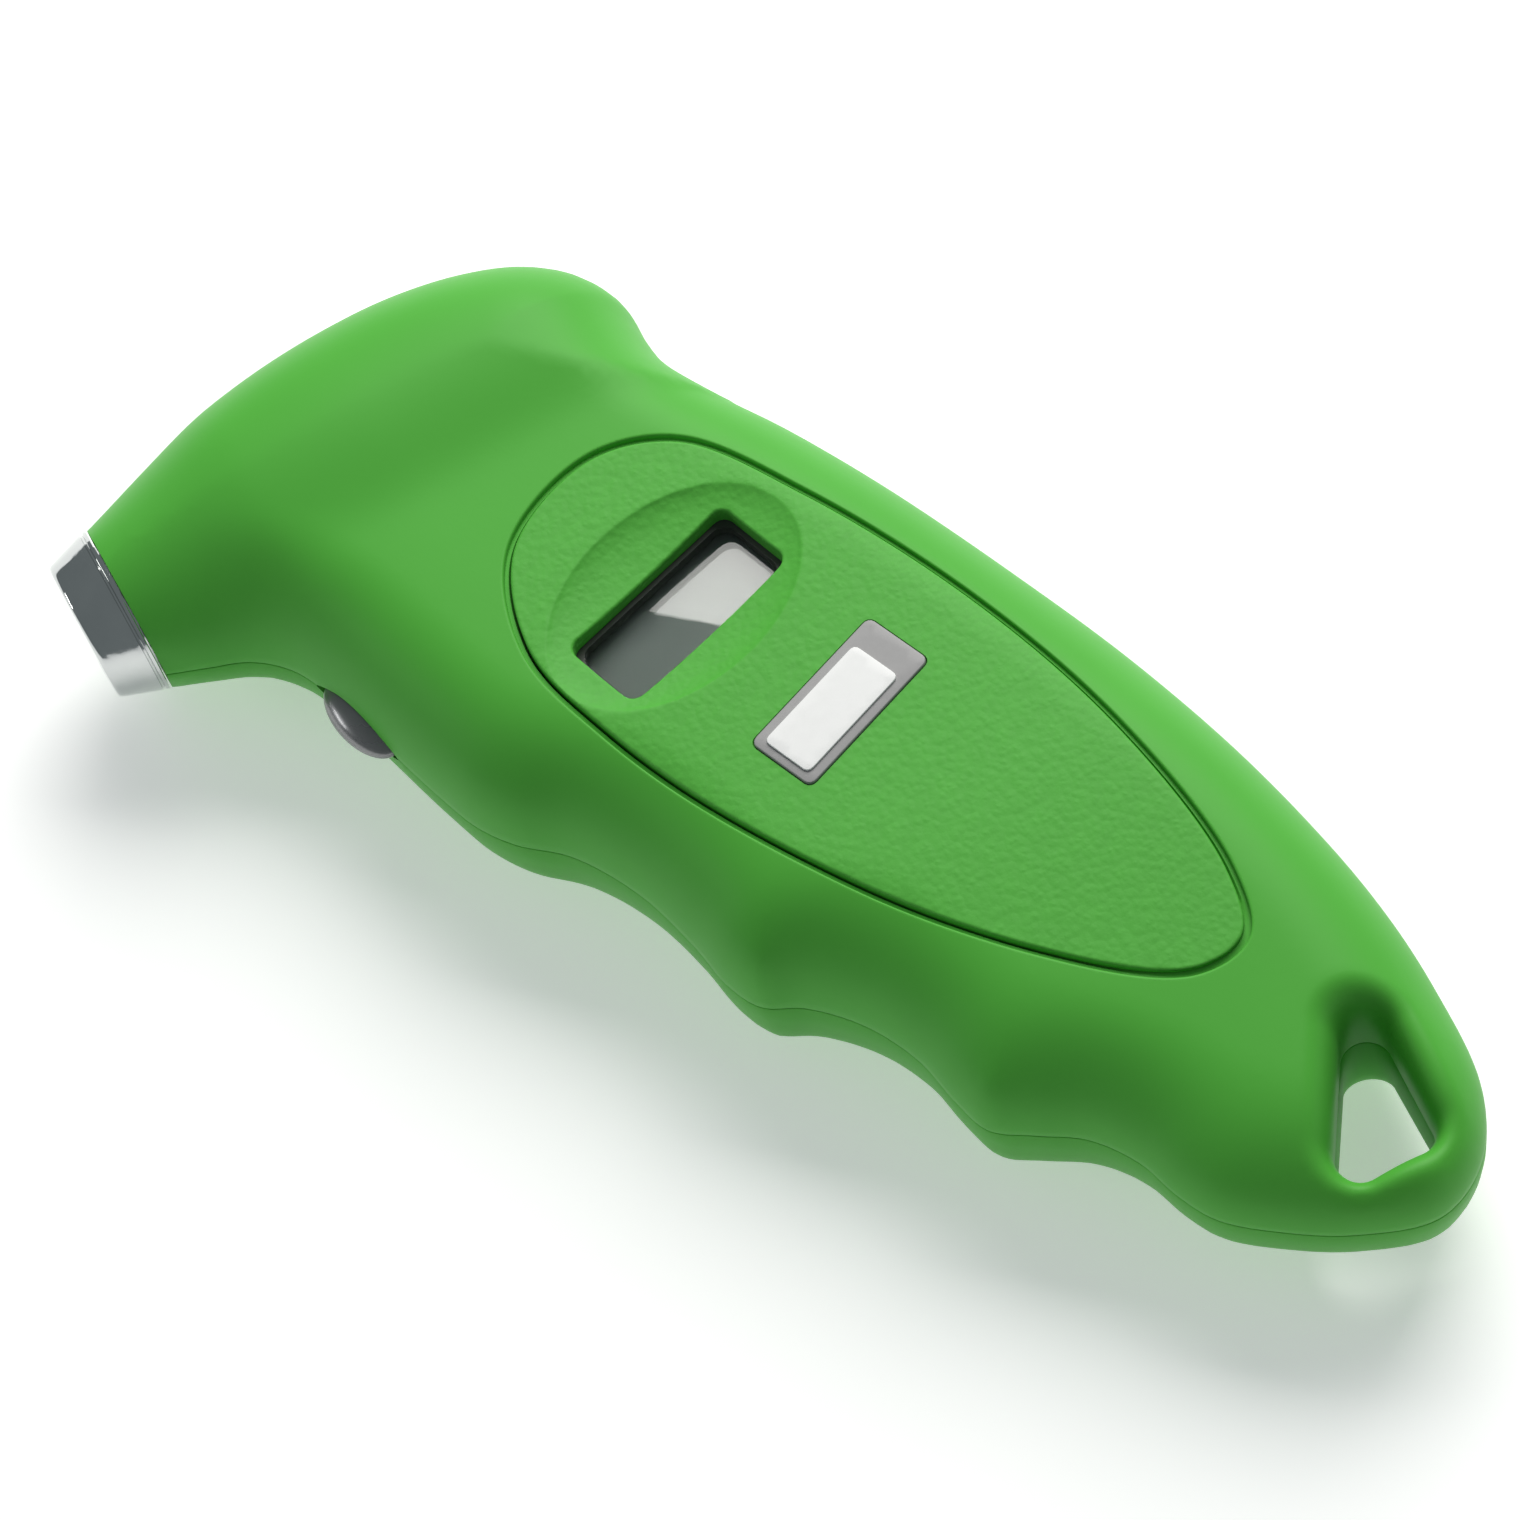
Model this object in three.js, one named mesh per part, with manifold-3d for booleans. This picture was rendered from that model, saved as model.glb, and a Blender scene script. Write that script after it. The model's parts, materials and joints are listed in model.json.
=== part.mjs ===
// Pistol-grip digital tyre pressure gauge, millimetres, +Z up, display face up.
// The case is two shells that meet on the plane z = 0 of the design frame. The nozzle axis runs along X,
// the grip runs down towards -Y, and the whole group is moved at the end so that it rests on z = 0.
import * as THREE from 'three';
import { mergeVertices } from 'three/addons/utils/BufferGeometryUtils.js';
import Module from 'manifold-3d';

const wasm = await Module();
wasm.setup();

// ---------------------------------------------------------------- driving dimensions

// Case outline on the parting plane: over the head and down the palm side, then back up the finger side.
const PALM_SIDE = [
  [-47.5, 61.2], [-40, 63.9], [-32, 66.2], [-24, 67.7], [-16, 68.3], [-8, 68], [0, 66.3], [6.6, 63.3],
  [11.1, 59.1], [13.4, 54], [13.3, 49.2], [13.7, 44.8], [16.4, 38.4], [20.9, 29.8], [26.2, 17.7],
  [31.8, 2.4], [36.8, -13.1], [40.8, -30], [42.9, -46], [42.8, -58], [41, -69], [36.8, -75.2],
];
const BUTT_TIP = [31, -77.6];
const FINGER_SIDE = [
  [-47.5, 42.5], [-43.5, 40.8], [-39.3, 38.9], [-36, 35.5], [-33.9, 30.5], [-32.2, 24], [-29.6, 14],
  [-27.8, 8.6], [-25.4, 4.8], [-21.2, 0.5], [-17.4, -6.9], [-15.4, -15], [-14.6, -20.5], [-12.9, -24.3],
  [-9.2, -26.8], [-5.2, -31.6], [-2.6, -37.6], [-1.7, -43.4], [-0.5, -47.5], [3, -50.3], [7.1, -53.4],
  [10, -58], [11.3, -62.7], [13.2, -66.8], [17.6, -71], [23.5, -75],
];
const NOZZLE_X = -47.5;
const NOZZLE_RADIUS = 9.3;
const AXIS_Y = 52;
const HEAD_MIDDLE_X = -16;
const HEAD_HALF_WIDTH = 17.5;
const WALL = 2;
const SHUT_GAP = 0.2;
const CLEARANCE = 0.3;

// Each half of the case: depth of the flat face, depth at the butt, where that taper starts, how the
// edge rounds over, and the share of the depth that the grip keeps under the nozzle.
const FRONT = {
  depth: 12.6, buttDepth: 9, taperY: -20, round: 11.5, power: 2.1, headDepth: 14.3, nose: 0.45, noseEnd: -30,
};
const REAR = {
  depth: 13.5, buttDepth: 10, taperY: -42, round: 8, power: 2.7, headDepth: 13.2, nose: 0.3, noseEnd: -20,
};
const BUTT_Y = -78;
const CROWN = 0.05;
const CROWN_WIDTH = 18;
const BLEND_POWER = 9;
const CASE_ROWS = 38;
const CASE_COLUMNS = 12;

// Inlaid face panel with its dished display window.
const PANEL_OUTLINE = [
  [0, 33.6], [9.2, 30.4], [17, 18], [25, -1], [30, -21], [31.3, -41], [28.8, -48], [22.5, -48.6],
  [10, -38.2], [-4, -18], [-13.4, 4], [-15.9, 17], [-11.5, 28.6],
];
const PANEL_GROOVE = 0.7;
const PANEL_BASE_Z = 10.5;
const BED_TOP_Z = 10.3;
const BED_THICKNESS = 1.7;
const BED_MARGIN = 1.8;
const DISPLAY = { x: -0.1, y: 13.6, angle: THREE.MathUtils.degToRad(16.5) };
const WINDOW = { length: 21.6, width: 9.6, corner: 1.3, collarWall: 1.2, collarLow: 9.8 };
const BEZEL = { length: 20.6, width: 8.6, corner: 1.6, low: 8.5, high: 9.7 };
const DISH = { x: -0.1, y: 14.1, halfLength: 15, halfWidth: 10.5, depth: 1.9, top: 12.9 };
const LENS = { length: 26, width: 13.6, thickness: 1, top: 8.4 };
const LCD = { length: 27, width: 15, thickness: 2.7, top: 7.1 };
const BADGE = { x: 8.1, y: -5.6, angle: THREE.MathUtils.degToRad(20), length: 17.6, width: 7.9, corner: 0.8 };
const BADGE_LABEL = { length: 13.4, width: 5.8, corner: 0.6, shift: -1.2 };

// Circuit board and what stands on it.
const BOARD_TOP_Z = -1;
const BOARD_THICKNESS = 1.6;
const BOARD_OUTLINE = [
  [-27, 31], [-8, 39], [5, 36], [14, 24], [20, 6], [21, -8], [30, -18], [31, -36], [24, -43],
  [10, -40], [2, -26], [-5, -10], [-13, 3], [-21, 10], [-25.5, 20],
];
const BOARD_SCREWS = [[-19, 24], [15, 1]];
const PORT = { x: -2, z: 1.8 };
const CASE_SCREWS = [[5, 58], [-24, 38.5], [27, -4], [22, -55]];
const SCREW = { shankRadius: 1.2, headRadius: 2.6, headHeight: 2, length: 11, seatZ: -4.5 };
const BOSS_RADIUS = 4.6;

// Coin cell, its holder and the twist-off door in the back.
const CELL = { x: 17, y: -28, radius: 10, height: 3.2, top: -6.4 };
const DOOR = {
  radius: 12.4, flange: 1.1, plugRadius: 10.8, plugTop: -10.1, lugReach: 12.2, lugHalfAngle: 0.3, lugHeight: 0.9,
  unlockTurn: THREE.MathUtils.degToRad(45),
};

// Push button on the finger side.
const BUTTON = {
  x: -32.7, y: 26.5, angle: THREE.MathUtils.degToRad(190.3), halfLength: 5.7, halfWidth: 2, domeHeight: 2.9,
  domeBase: -0.5, slotEnd: 0.6,
};
const SWITCH_Z = 0.8;

// Lanyard eye: the hull of three equal circles. Its mouths widen in two steps, as heights and growths.
const EYE_CENTRES = [[33.3, -60.8], [27.3, -69.6], [32.3, -69.9]];
const EYE_RADIUS = 2.5;
const EYE_WALL = 2.4;
const EYE_MOUTHS = [[[4.9, 0], [7.4, 0.6], [10.4, 3.2]], [[-6.2, 0], [-8.9, 0.6], [-12.2, 3.2]]];

// Tyre valve chuck, as radii along the nozzle axis.
const TIP_X = -53;
const TIP_RADIUS = 7.8;
const MOUTH_RADIUS = 4.6;
const SLEEVE_RADIUS = 7.2;
const CHUCK_END_X = -21;
const SPIGOT_RADIUS = 1.25;

// ---------------------------------------------------------------- materials

const material = (color, roughness, metalness = 0) => (
  new THREE.MeshStandardMaterial({ color, roughness, metalness }));
const FINISH = {
  caseGreen: () => material(0x4caf3f, 0.38),
  panelGreen: () => material(0x4fae3e, 0.55),
  chrome: () => material(0xd8dcdc, 0.12, 1),
  brass: () => material(0xb8964a, 0.35, 1),
  darkPlastic: () => material(0x3c3c40, 0.3),
  blackPlastic: () => material(0x18181a, 0.5),
  rubber: () => material(0x202022, 0.8),
  lcdGlass: () => material(0x9da3a0, 0.15),
  clearPlastic: () => material(0xdfe6e4, 0.05),
  labelWhite: () => material(0xf4f4f4, 0.4),
  badgeGrey: () => material(0x9c9a9b, 0.4),
  board: () => material(0x1f6b3a, 0.5),
  steel: () => material(0xb9bcc0, 0.3, 1),
  silicone: () => material(0xe3e3dc, 0.6),
};

// ---------------------------------------------------------------- solids and shapes

function toSolid(geometry) {
  const bare = geometry.clone();
  bare.deleteAttribute('normal');
  bare.deleteAttribute('uv');
  const merged = mergeVertices(bare, 1e-4);
  const corners = merged.index.array;
  const kept = [];
  for (let i = 0; i < corners.length; i += 3) {
    const [a, b, c] = [corners[i], corners[i + 1], corners[i + 2]];
    if (a !== b && b !== c && c !== a) {
      kept.push(a, b, c);
    }
  }
  return new wasm.Manifold(new wasm.Mesh({
    numProp: 3,
    vertProperties: new Float32Array(merged.attributes.position.array),
    triVerts: new Uint32Array(kept),
  }));
}

function toGeometry(solid) {
  const mesh = solid.getMesh();
  const geometry = new THREE.BufferGeometry();
  geometry.setAttribute('position', new THREE.BufferAttribute(mesh.vertProperties, mesh.numProp));
  geometry.setIndex(new THREE.BufferAttribute(mesh.triVerts, 1));
  geometry.computeVertexNormals();
  return geometry;
}

const joined = (first, ...others) => others.reduce((sum, next) => sum.add(next), first);
const cutAway = (first, ...others) => others.reduce((rest, next) => rest.subtract(next), first);

const prism = (shape, low, high, segments = 6) => (
  new THREE.ExtrudeGeometry(shape, { depth: high - low, bevelEnabled: false, curveSegments: segments })
    .translate(0, 0, low));
const disc = (x, y, radius, low, high, sides = 18) => (
  new THREE.CylinderGeometry(radius, radius, high - low, sides)
    .rotateX(Math.PI / 2).translate(x, y, (low + high) / 2));
const block = (lowX, highX, lowY, highY, lowZ, highZ) => (
  new THREE.BoxGeometry(highX - lowX, highY - lowY, highZ - lowZ)
    .translate((lowX + highX) / 2, (lowY + highY) / 2, (lowZ + highZ) / 2));

// Convex outline round equal circles, listed anticlockwise.
function hullShape(centres, radius) {
  const shape = new THREE.Shape();
  const heading = (from, to) => Math.atan2(to[1] - from[1], to[0] - from[0]) - Math.PI / 2;
  centres.forEach((centre, i) => {
    const before = centres[(i + centres.length - 1) % centres.length];
    const after = centres[(i + 1) % centres.length];
    shape.absarc(centre[0], centre[1], radius, heading(before, centre), heading(centre, after), false);
  });
  return shape;
}

function roundedRectangle(length, width, corner) {
  const [x, y] = [length / 2 - corner, width / 2 - corner];
  return hullShape([[-x, -y], [x, -y], [x, y], [-x, y]], corner);
}

// Closed smooth outline through hand-placed points, moved inwards by the given amount.
function insetOutline(points, inset, steps) {
  const curve = new THREE.CatmullRomCurve3(points.map(([x, y]) => new THREE.Vector3(x, y, 0)), true);
  const outline = [];
  for (let i = 0; i < steps; i += 1) {
    const point = curve.getPointAt(i / steps);
    const along = curve.getTangentAt(i / steps);
    outline.push(new THREE.Vector2(point.x + inset * along.y, point.y - inset * along.x));
  }
  return new THREE.Shape(outline);
}

// Solid of revolution about the nozzle axis, from [x, radius] pairs of a closed half section.
function turned(section, sides = 24) {
  const profile = section.map(([x, radius]) => new THREE.Vector2(radius, x));
  if (THREE.ShapeUtils.isClockWise(profile)) {
    profile.reverse();
  }
  profile.push(profile[0].clone());
  return new THREE.LatheGeometry(profile, sides).rotateZ(-Math.PI / 2).translate(0, AXIS_Y, 0);
}

// ---------------------------------------------------------------- the form of the case

const rimPoints = [...PALM_SIDE, BUTT_TIP, ...FINGER_SIDE.slice().reverse()];
const rim = new THREE.CatmullRomCurve3(rimPoints.map(([x, y]) => new THREE.Vector3(x, y, 0)));
const rimDivisions = 20 * (rimPoints.length - 1);
const rimLengths = rim.getLengths(rimDivisions);
const tipShare = rimLengths[20 * PALM_SIDE.length] / rimLengths[rimDivisions];

// The edge that depths are measured from: the rim, and the nozzle's sides carried on past its end.
function edgeLine() {
  const flare = 0.35;
  const reach = 14;
  const line = rim.getSpacedPoints(330);
  line.unshift(new THREE.Vector3(NOZZLE_X - reach, AXIS_Y + NOZZLE_RADIUS - flare * reach, 0));
  line.push(new THREE.Vector3(NOZZLE_X - reach, AXIS_Y - NOZZLE_RADIUS + flare * reach, 0));
  return line;
}
const edge = edgeLine();

// Distance to the edge, and a softened distance without creases where the edge bends sharply outwards.
function edgeDistances(x, y) {
  let nearest = Infinity;
  let pull = 0;
  for (let i = 1; i < edge.length; i += 1) {
    const [a, b] = [edge[i - 1], edge[i]];
    const [dx, dy] = [b.x - a.x, b.y - a.y];
    const squared = dx * dx + dy * dy;
    const t = THREE.MathUtils.clamp(((x - a.x) * dx + (y - a.y) * dy) / squared, 0, 1);
    nearest = Math.min(nearest, Math.hypot(x - a.x - t * dx, y - a.y - t * dy));
    const middle = Math.hypot(x - (a.x + b.x) / 2, y - (a.y + b.y) / 2);
    pull += Math.sqrt(squared) / Math.max(middle, 0.2) ** 5;
  }
  const soft = (4 / 3 / pull) ** 0.25;
  const mix = THREE.MathUtils.smoothstep(nearest, 1.5, 4);
  return { nearest, soft: THREE.MathUtils.lerp(nearest, soft, mix) };
}

const roundOver = (share, power) => (
  Math.max(0, 1 - (1 - THREE.MathUtils.clamp(share, 0, 1)) ** power) ** (1 / power));

// Height of one half of the case above the parting plane; inset gives the inner face of the wall.
function caseHeight(x, y, half, inset) {
  const { nearest, soft } = edgeDistances(x, y);
  const nose = THREE.MathUtils.lerp(half.nose, 1, THREE.MathUtils.smoothstep(x, -52, half.noseEnd));
  const taper = THREE.MathUtils.smoothstep(half.taperY - y, 0, half.taperY - BUTT_Y);
  const depth = THREE.MathUtils.lerp(half.depth, half.buttDepth, taper) - inset;
  const crown = 1 - (1 - Math.min(1, soft / CROWN_WIDTH)) ** 2;
  const rounded = roundOver((soft - inset) / (half.round - inset), half.power);
  const grip = depth * nose * rounded * (1 - CROWN + CROWN * crown);
  const ahead = THREE.MathUtils.clamp((HEAD_MIDDLE_X - x) / (HEAD_MIDDLE_X - NOZZLE_X), 0, 2) ** 2;
  const halfWidth = HEAD_HALF_WIDTH - (HEAD_HALF_WIDTH - NOZZLE_RADIUS) * ahead - inset;
  const headDepth = half.headDepth - (half.headDepth - NOZZLE_RADIUS) * ahead - inset;
  const off = Math.max(1 - Math.min(1, (nearest - inset) / halfWidth), (AXIS_Y - y) / halfWidth);
  const head = headDepth * Math.sqrt(Math.max(0, 1 - off * off));
  const height = (grip ** BLEND_POWER + head ** BLEND_POWER) ** (1 / BLEND_POWER);
  return half === REAR ? Math.min(height, REAR.depth - inset) : height;
}

// Closed body between the front and rear faces, lofted across sections from finger side to palm side.
function caseBody(inset) {
  const corner = (share) => {
    const point = rim.getPointAt(share);
    const along = rim.getTangentAt(share);
    return [point.x + inset * along.y, point.y - inset * along.x];
  };
  const positions = [];
  const faces = [];
  const stride = (CASE_COLUMNS + 1) * 2;
  for (let row = 0; row <= CASE_ROWS; row += 1) {
    const along = 1 - (1 - row / CASE_ROWS) ** 1.25;
    const palm = corner(along * tipShare);
    const finger = corner(1 - along * (1 - tipShare));
    for (let column = 0; column <= CASE_COLUMNS; column += 1) {
      const across = (1 - Math.cos(Math.PI * column / CASE_COLUMNS)) / 2;
      const x = THREE.MathUtils.lerp(finger[0], palm[0], across);
      const y = THREE.MathUtils.lerp(finger[1], palm[1], across);
      const onRim = column === 0 || column === CASE_COLUMNS || row === CASE_ROWS;
      positions.push(x, y, onRim ? 0 : caseHeight(x, y, FRONT, inset));
      positions.push(x, y, onRim ? 0 : -caseHeight(x, y, REAR, inset));
    }
  }
  const quad = (a, b, c, d) => faces.push(a, b, c, a, c, d);
  for (let row = 0; row < CASE_ROWS; row += 1) {
    for (let column = 0; column < CASE_COLUMNS; column += 1) {
      const here = row * stride + column * 2;
      quad(here, here + stride, here + stride + 2, here + 2);
      quad(here + 1, here + 3, here + stride + 3, here + stride + 1);
    }
  }
  for (let column = 0; column < CASE_COLUMNS; column += 1) {
    const here = column * 2;
    quad(here, here + 2, here + 3, here + 1);
  }
  const geometry = new THREE.BufferGeometry();
  geometry.setAttribute('position', new THREE.Float32BufferAttribute(positions, 3));
  geometry.setIndex(faces);
  return toSolid(geometry);
}

// ---------------------------------------------------------------- places

const displayGroup = new THREE.Group();
displayGroup.position.set(DISPLAY.x, DISPLAY.y, 0);
displayGroup.rotation.z = DISPLAY.angle;
displayGroup.updateMatrix();

const badgeGroup = new THREE.Group();
badgeGroup.position.set(BADGE.x, BADGE.y, 0);
badgeGroup.rotation.z = BADGE.angle;
badgeGroup.updateMatrix();

// Inside this group +X points out of the case along the button's travel.
const buttonGroup = new THREE.Group();
buttonGroup.position.set(BUTTON.x, BUTTON.y, 0);
buttonGroup.rotation.z = BUTTON.angle;
buttonGroup.updateMatrix();

const gauge = new THREE.Group();
gauge.add(displayGroup, badgeGroup, buttonGroup);

function addPiece(name, geometry, finish, parent = gauge) {
  const mesh = new THREE.Mesh(geometry, finish());
  mesh.name = name;
  parent.add(mesh);
  return mesh;
}

// ---------------------------------------------------------------- shells and panel

const outerBody = caseBody(0);
const eyeWall = toSolid(prism(hullShape(EYE_CENTRES, EYE_RADIUS + EYE_WALL), -20, 20));
const noseStop = toSolid(block(NOZZLE_X - 5, NOZZLE_X + 8, 30, 75, -20, 20));
const cavity = cutAway(caseBody(WALL), eyeWall, noseStop);
const eyeSlice = ([z, growth]) => (
  toSolid(prism(hullShape(EYE_CENTRES, EYE_RADIUS + growth), z - 0.02, z + 0.02)));
const eyeMouths = EYE_MOUTHS.flatMap((slices) => slices.slice(1).map((slice, i) => (
  wasm.Manifold.hull([eyeSlice(slices[i]), eyeSlice(slice)]))));
const eye = joined(toSolid(prism(hullShape(EYE_CENTRES, EYE_RADIUS), -20, 20)), ...eyeMouths);
const nozzleBore = toSolid(turned([[NOZZLE_X - 2, 0], [NOZZLE_X + 12, 0],
  [NOZZLE_X + 12, SLEEVE_RADIUS + CLEARANCE], [NOZZLE_X - 2, SLEEVE_RADIUS + CLEARANCE]]));

// Upright prism of the window's outline grown by a margin, turned with the display.
const windowPrism = (margin, low, high) => toSolid(prism(
  roundedRectangle(WINDOW.length + 2 * margin, WINDOW.width + 2 * margin, WINDOW.corner + margin), low, high)
  .applyMatrix4(displayGroup.matrix));

// The button's slot is an ellipse seen along the travel axis.
function buttonPrism(halfLength, halfWidth, low, high) {
  return new THREE.CylinderGeometry(1, 1, high - low, 20).rotateZ(-Math.PI / 2)
    .scale(1, halfLength, halfWidth).translate((low + high) / 2, 0, 0);
}
const buttonSlot = toSolid(
  buttonPrism(BUTTON.halfLength + BUTTON.slotEnd, BUTTON.halfWidth + CLEARANCE, -6, 6)
    .applyMatrix4(buttonGroup.matrix));

function frontShell() {
  const upper = toSolid(block(-80, 80, -100, 100, SHUT_GAP / 2, 30));
  const bed = toSolid(prism(insetOutline(PANEL_OUTLINE, -BED_MARGIN, 44), BED_TOP_Z - BED_THICKNESS, 11));
  const recess = toSolid(prism(insetOutline(PANEL_OUTLINE, 0, 44), BED_TOP_Z, 30));
  const bosses = CASE_SCREWS.map(([x, y]) => toSolid(disc(x, y, BOSS_RADIUS - 1.2, 0, 11)));
  const posts = BOARD_SCREWS.map(([x, y]) => toSolid(disc(x, y, 2.1, BOARD_TOP_Z + 0.1, 11.4, 12)));
  const pilots = CASE_SCREWS.map(([x, y]) => (
    toSolid(disc(x, y, SCREW.shankRadius + CLEARANCE, -1, 8, 16))));
  const postPilots = BOARD_SCREWS.map(([x, y]) => toSolid(disc(x, y, 1.1, -2, 5, 12)));
  const walls = cutAway(outerBody, cavity).intersect(upper);
  const inside = joined(bed, ...bosses).intersect(outerBody).intersect(upper);
  const board = joined(...posts).intersect(outerBody);
  const bedWindow = windowPrism(WINDOW.collarWall + CLEARANCE, 0, 20);
  return cutAway(joined(walls, inside, board), recess, bedWindow, buttonSlot, nozzleBore, eye,
    ...pilots, ...postPilots);
}

// Two opposite sectors about the door's centre: the bayonet lugs, or the notches that let them through.
function bayonet(reach, halfAngle, turn, low, high) {
  return [0, Math.PI].map((side) => prism(new THREE.Shape()
    .absarc(0, 0, reach, side - halfAngle, side + halfAngle, false).lineTo(0, 0), low, high)
    .rotateZ(turn));
}

function rearShell() {
  const lower = toSolid(block(-80, 80, -100, 100, -30, -SHUT_GAP / 2));
  const bosses = CASE_SCREWS.map(([x, y]) => toSolid(disc(x, y, BOSS_RADIUS, -14, 0)));
  const wells = CASE_SCREWS.map(([x, y]) => (
    toSolid(disc(x, y, SCREW.headRadius + CLEARANCE, -20, SCREW.seatZ))));
  const holes = CASE_SCREWS.map(([x, y]) => (
    toSolid(disc(x, y, SCREW.shankRadius + CLEARANCE, -20, 2, 16))));
  const doorSeat = toSolid(disc(CELL.x, CELL.y, DOOR.radius + CLEARANCE, -20,
    -REAR.depth + DOOR.flange + CLEARANCE, 48));
  const doorHole = toSolid(disc(CELL.x, CELL.y, DOOR.plugRadius + CLEARANCE, -20, -8, 48));
  const notches = bayonet(DOOR.lugReach + CLEARANCE, DOOR.lugHalfAngle + 0.04, -DOOR.unlockTurn, -20, -8)
    .map((sector) => toSolid(sector.translate(CELL.x, CELL.y, 0)));
  const walls = cutAway(outerBody, cavity);
  const bodies = joined(...bosses).intersect(outerBody);
  return cutAway(joined(walls, bodies).intersect(lower), ...wells, ...holes, doorSeat, doorHole, ...notches,
    buttonSlot, nozzleBore, eye);
}

function facePanel() {
  const plate = toSolid(prism(insetOutline(PANEL_OUTLINE, PANEL_GROOVE, 44), PANEL_BASE_Z, 30));
  const dish = toSolid(new THREE.SphereGeometry(1, 28, 12)
    .scale(DISH.halfLength, DISH.halfWidth, DISH.depth)
    .rotateZ(DISPLAY.angle).translate(DISH.x, DISH.y, DISH.top));
  const badgeSeat = toSolid(prism(
    roundedRectangle(BADGE.length + 0.4, BADGE.width + 0.4, BADGE.corner), 12.1, 20, 3)
    .applyMatrix4(badgeGroup.matrix));
  const collar = windowPrism(WINDOW.collarWall, WINDOW.collarLow, PANEL_BASE_Z + 0.2);
  return cutAway(joined(plate.intersect(outerBody), collar), dish, windowPrism(0, 0, 20), badgeSeat);
}

addPiece('front_shell', toGeometry(frontShell()), FINISH.caseGreen);
addPiece('rear_shell', toGeometry(rearShell()), FINISH.caseGreen);
addPiece('face_panel', toGeometry(facePanel()), FINISH.panelGreen);
addPiece('badge_plate', prism(roundedRectangle(BADGE.length, BADGE.width, BADGE.corner), 12.2, 12.8, 3),
  FINISH.badgeGrey, badgeGroup);
addPiece('badge_label', prism(
  roundedRectangle(BADGE_LABEL.length, BADGE_LABEL.width, BADGE_LABEL.corner), 12.85, 13.05, 3)
  .translate(BADGE_LABEL.shift, 0, 0), FINISH.labelWhite, badgeGroup);

// ---------------------------------------------------------------- display stack

const plateAt = (length, width, low, high, x = 0, y = 0) => (
  block(x - length / 2, x + length / 2, y - width / 2, y + width / 2, low, high));

function lcdFrame() {
  const outside = toSolid(plateAt(LCD.length + 2, LCD.width + 2, BOARD_TOP_Z + 0.1, LCD.top - LCD.thickness - 0.1));
  const inside = toSolid(plateAt(LCD.length - 1, LCD.width - 1, BOARD_TOP_Z - 1, LCD.top));
  return outside.subtract(inside);
}

function windowBezel() {
  const margin = WINDOW.collarWall * 2;
  const outside = toSolid(prism(roundedRectangle(
    WINDOW.length + margin, WINDOW.width + margin, WINDOW.corner + WINDOW.collarWall), BEZEL.low, BEZEL.high));
  const inside = toSolid(prism(roundedRectangle(BEZEL.length, BEZEL.width, BEZEL.corner), 0, 20));
  return outside.subtract(inside);
}

addPiece('window_bezel', toGeometry(windowBezel()), FINISH.blackPlastic, displayGroup);
addPiece('display_window', prism(roundedRectangle(LENS.length, LENS.width, 1),
  LENS.top - LENS.thickness, LENS.top, 3), FINISH.clearPlastic, displayGroup);
addPiece('lcd_module', plateAt(LCD.length, LCD.width, LCD.top - LCD.thickness, LCD.top),
  FINISH.lcdGlass, displayGroup);
addPiece('lcd_frame', toGeometry(lcdFrame()), FINISH.blackPlastic, displayGroup);
for (const [name, side] of [['contact_strip_upper', 1], ['contact_strip_lower', -1]]) {
  addPiece(name, plateAt(LCD.length - 3, 2, BOARD_TOP_Z + 0.1, LCD.top - LCD.thickness - 0.1, 0,
    side * (LCD.width / 2 - 2)), FINISH.rubber, displayGroup);
}

// ---------------------------------------------------------------- circuit board

function circuitBoard() {
  const outline = new THREE.Shape(BOARD_OUTLINE.map(([x, y]) => new THREE.Vector2(x, y)));
  const plate = toSolid(prism(outline, BOARD_TOP_Z - BOARD_THICKNESS, BOARD_TOP_Z));
  const holes = BOARD_SCREWS.map(([x, y]) => toSolid(disc(x, y, 1.1, -5, 1, 12)));
  return cutAway(plate, ...holes);
}

// Sensor package with its pressure port pointing up the board.
function pressureSensor() {
  const box = toSolid(plateAt(8, 7, BOARD_TOP_Z + 0.05, BOARD_TOP_Z + 4.6, PORT.x, 33));
  const port = toSolid(new THREE.CylinderGeometry(SPIGOT_RADIUS, SPIGOT_RADIUS, 5, 12)
    .translate(PORT.x, 38.5, PORT.z));
  return joined(box, port);
}

// Silicone tube from the chuck's spigot to the sensor's port.
function sensorTube() {
  const route = new THREE.CatmullRomCurve3([
    new THREE.Vector3(CHUCK_END_X + 0.3, AXIS_Y, 0), new THREE.Vector3(-16, AXIS_Y, 0),
    new THREE.Vector3(-9, AXIS_Y - 0.8, 0.6), new THREE.Vector3(-3.2, AXIS_Y - 5.6, 1.5),
    new THREE.Vector3(PORT.x, 41, PORT.z), new THREE.Vector3(PORT.x, 36.9, PORT.z),
  ]);
  const section = new THREE.Shape().absarc(0, 0, 2.5, 0, 2 * Math.PI, false);
  section.holes.push(new THREE.Path().absarc(0, 0, 1.6, 0, 2 * Math.PI, true));
  return new THREE.ExtrudeGeometry(section,
    { steps: 12, curveSegments: 6, bevelEnabled: false, extrudePath: route });
}

addPiece('circuit_board', toGeometry(circuitBoard()), FINISH.board);
addPiece('controller_chip', plateAt(10, 8, BOARD_TOP_Z + 0.05, BOARD_TOP_Z + 1.8, 6, -13),
  FINISH.blackPlastic);
addPiece('pressure_sensor', toGeometry(pressureSensor()), FINISH.blackPlastic);
addPiece('sensor_tube', toGeometry(toSolid(sensorTube())), FINISH.silicone);

// ---------------------------------------------------------------- tyre valve chuck

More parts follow.
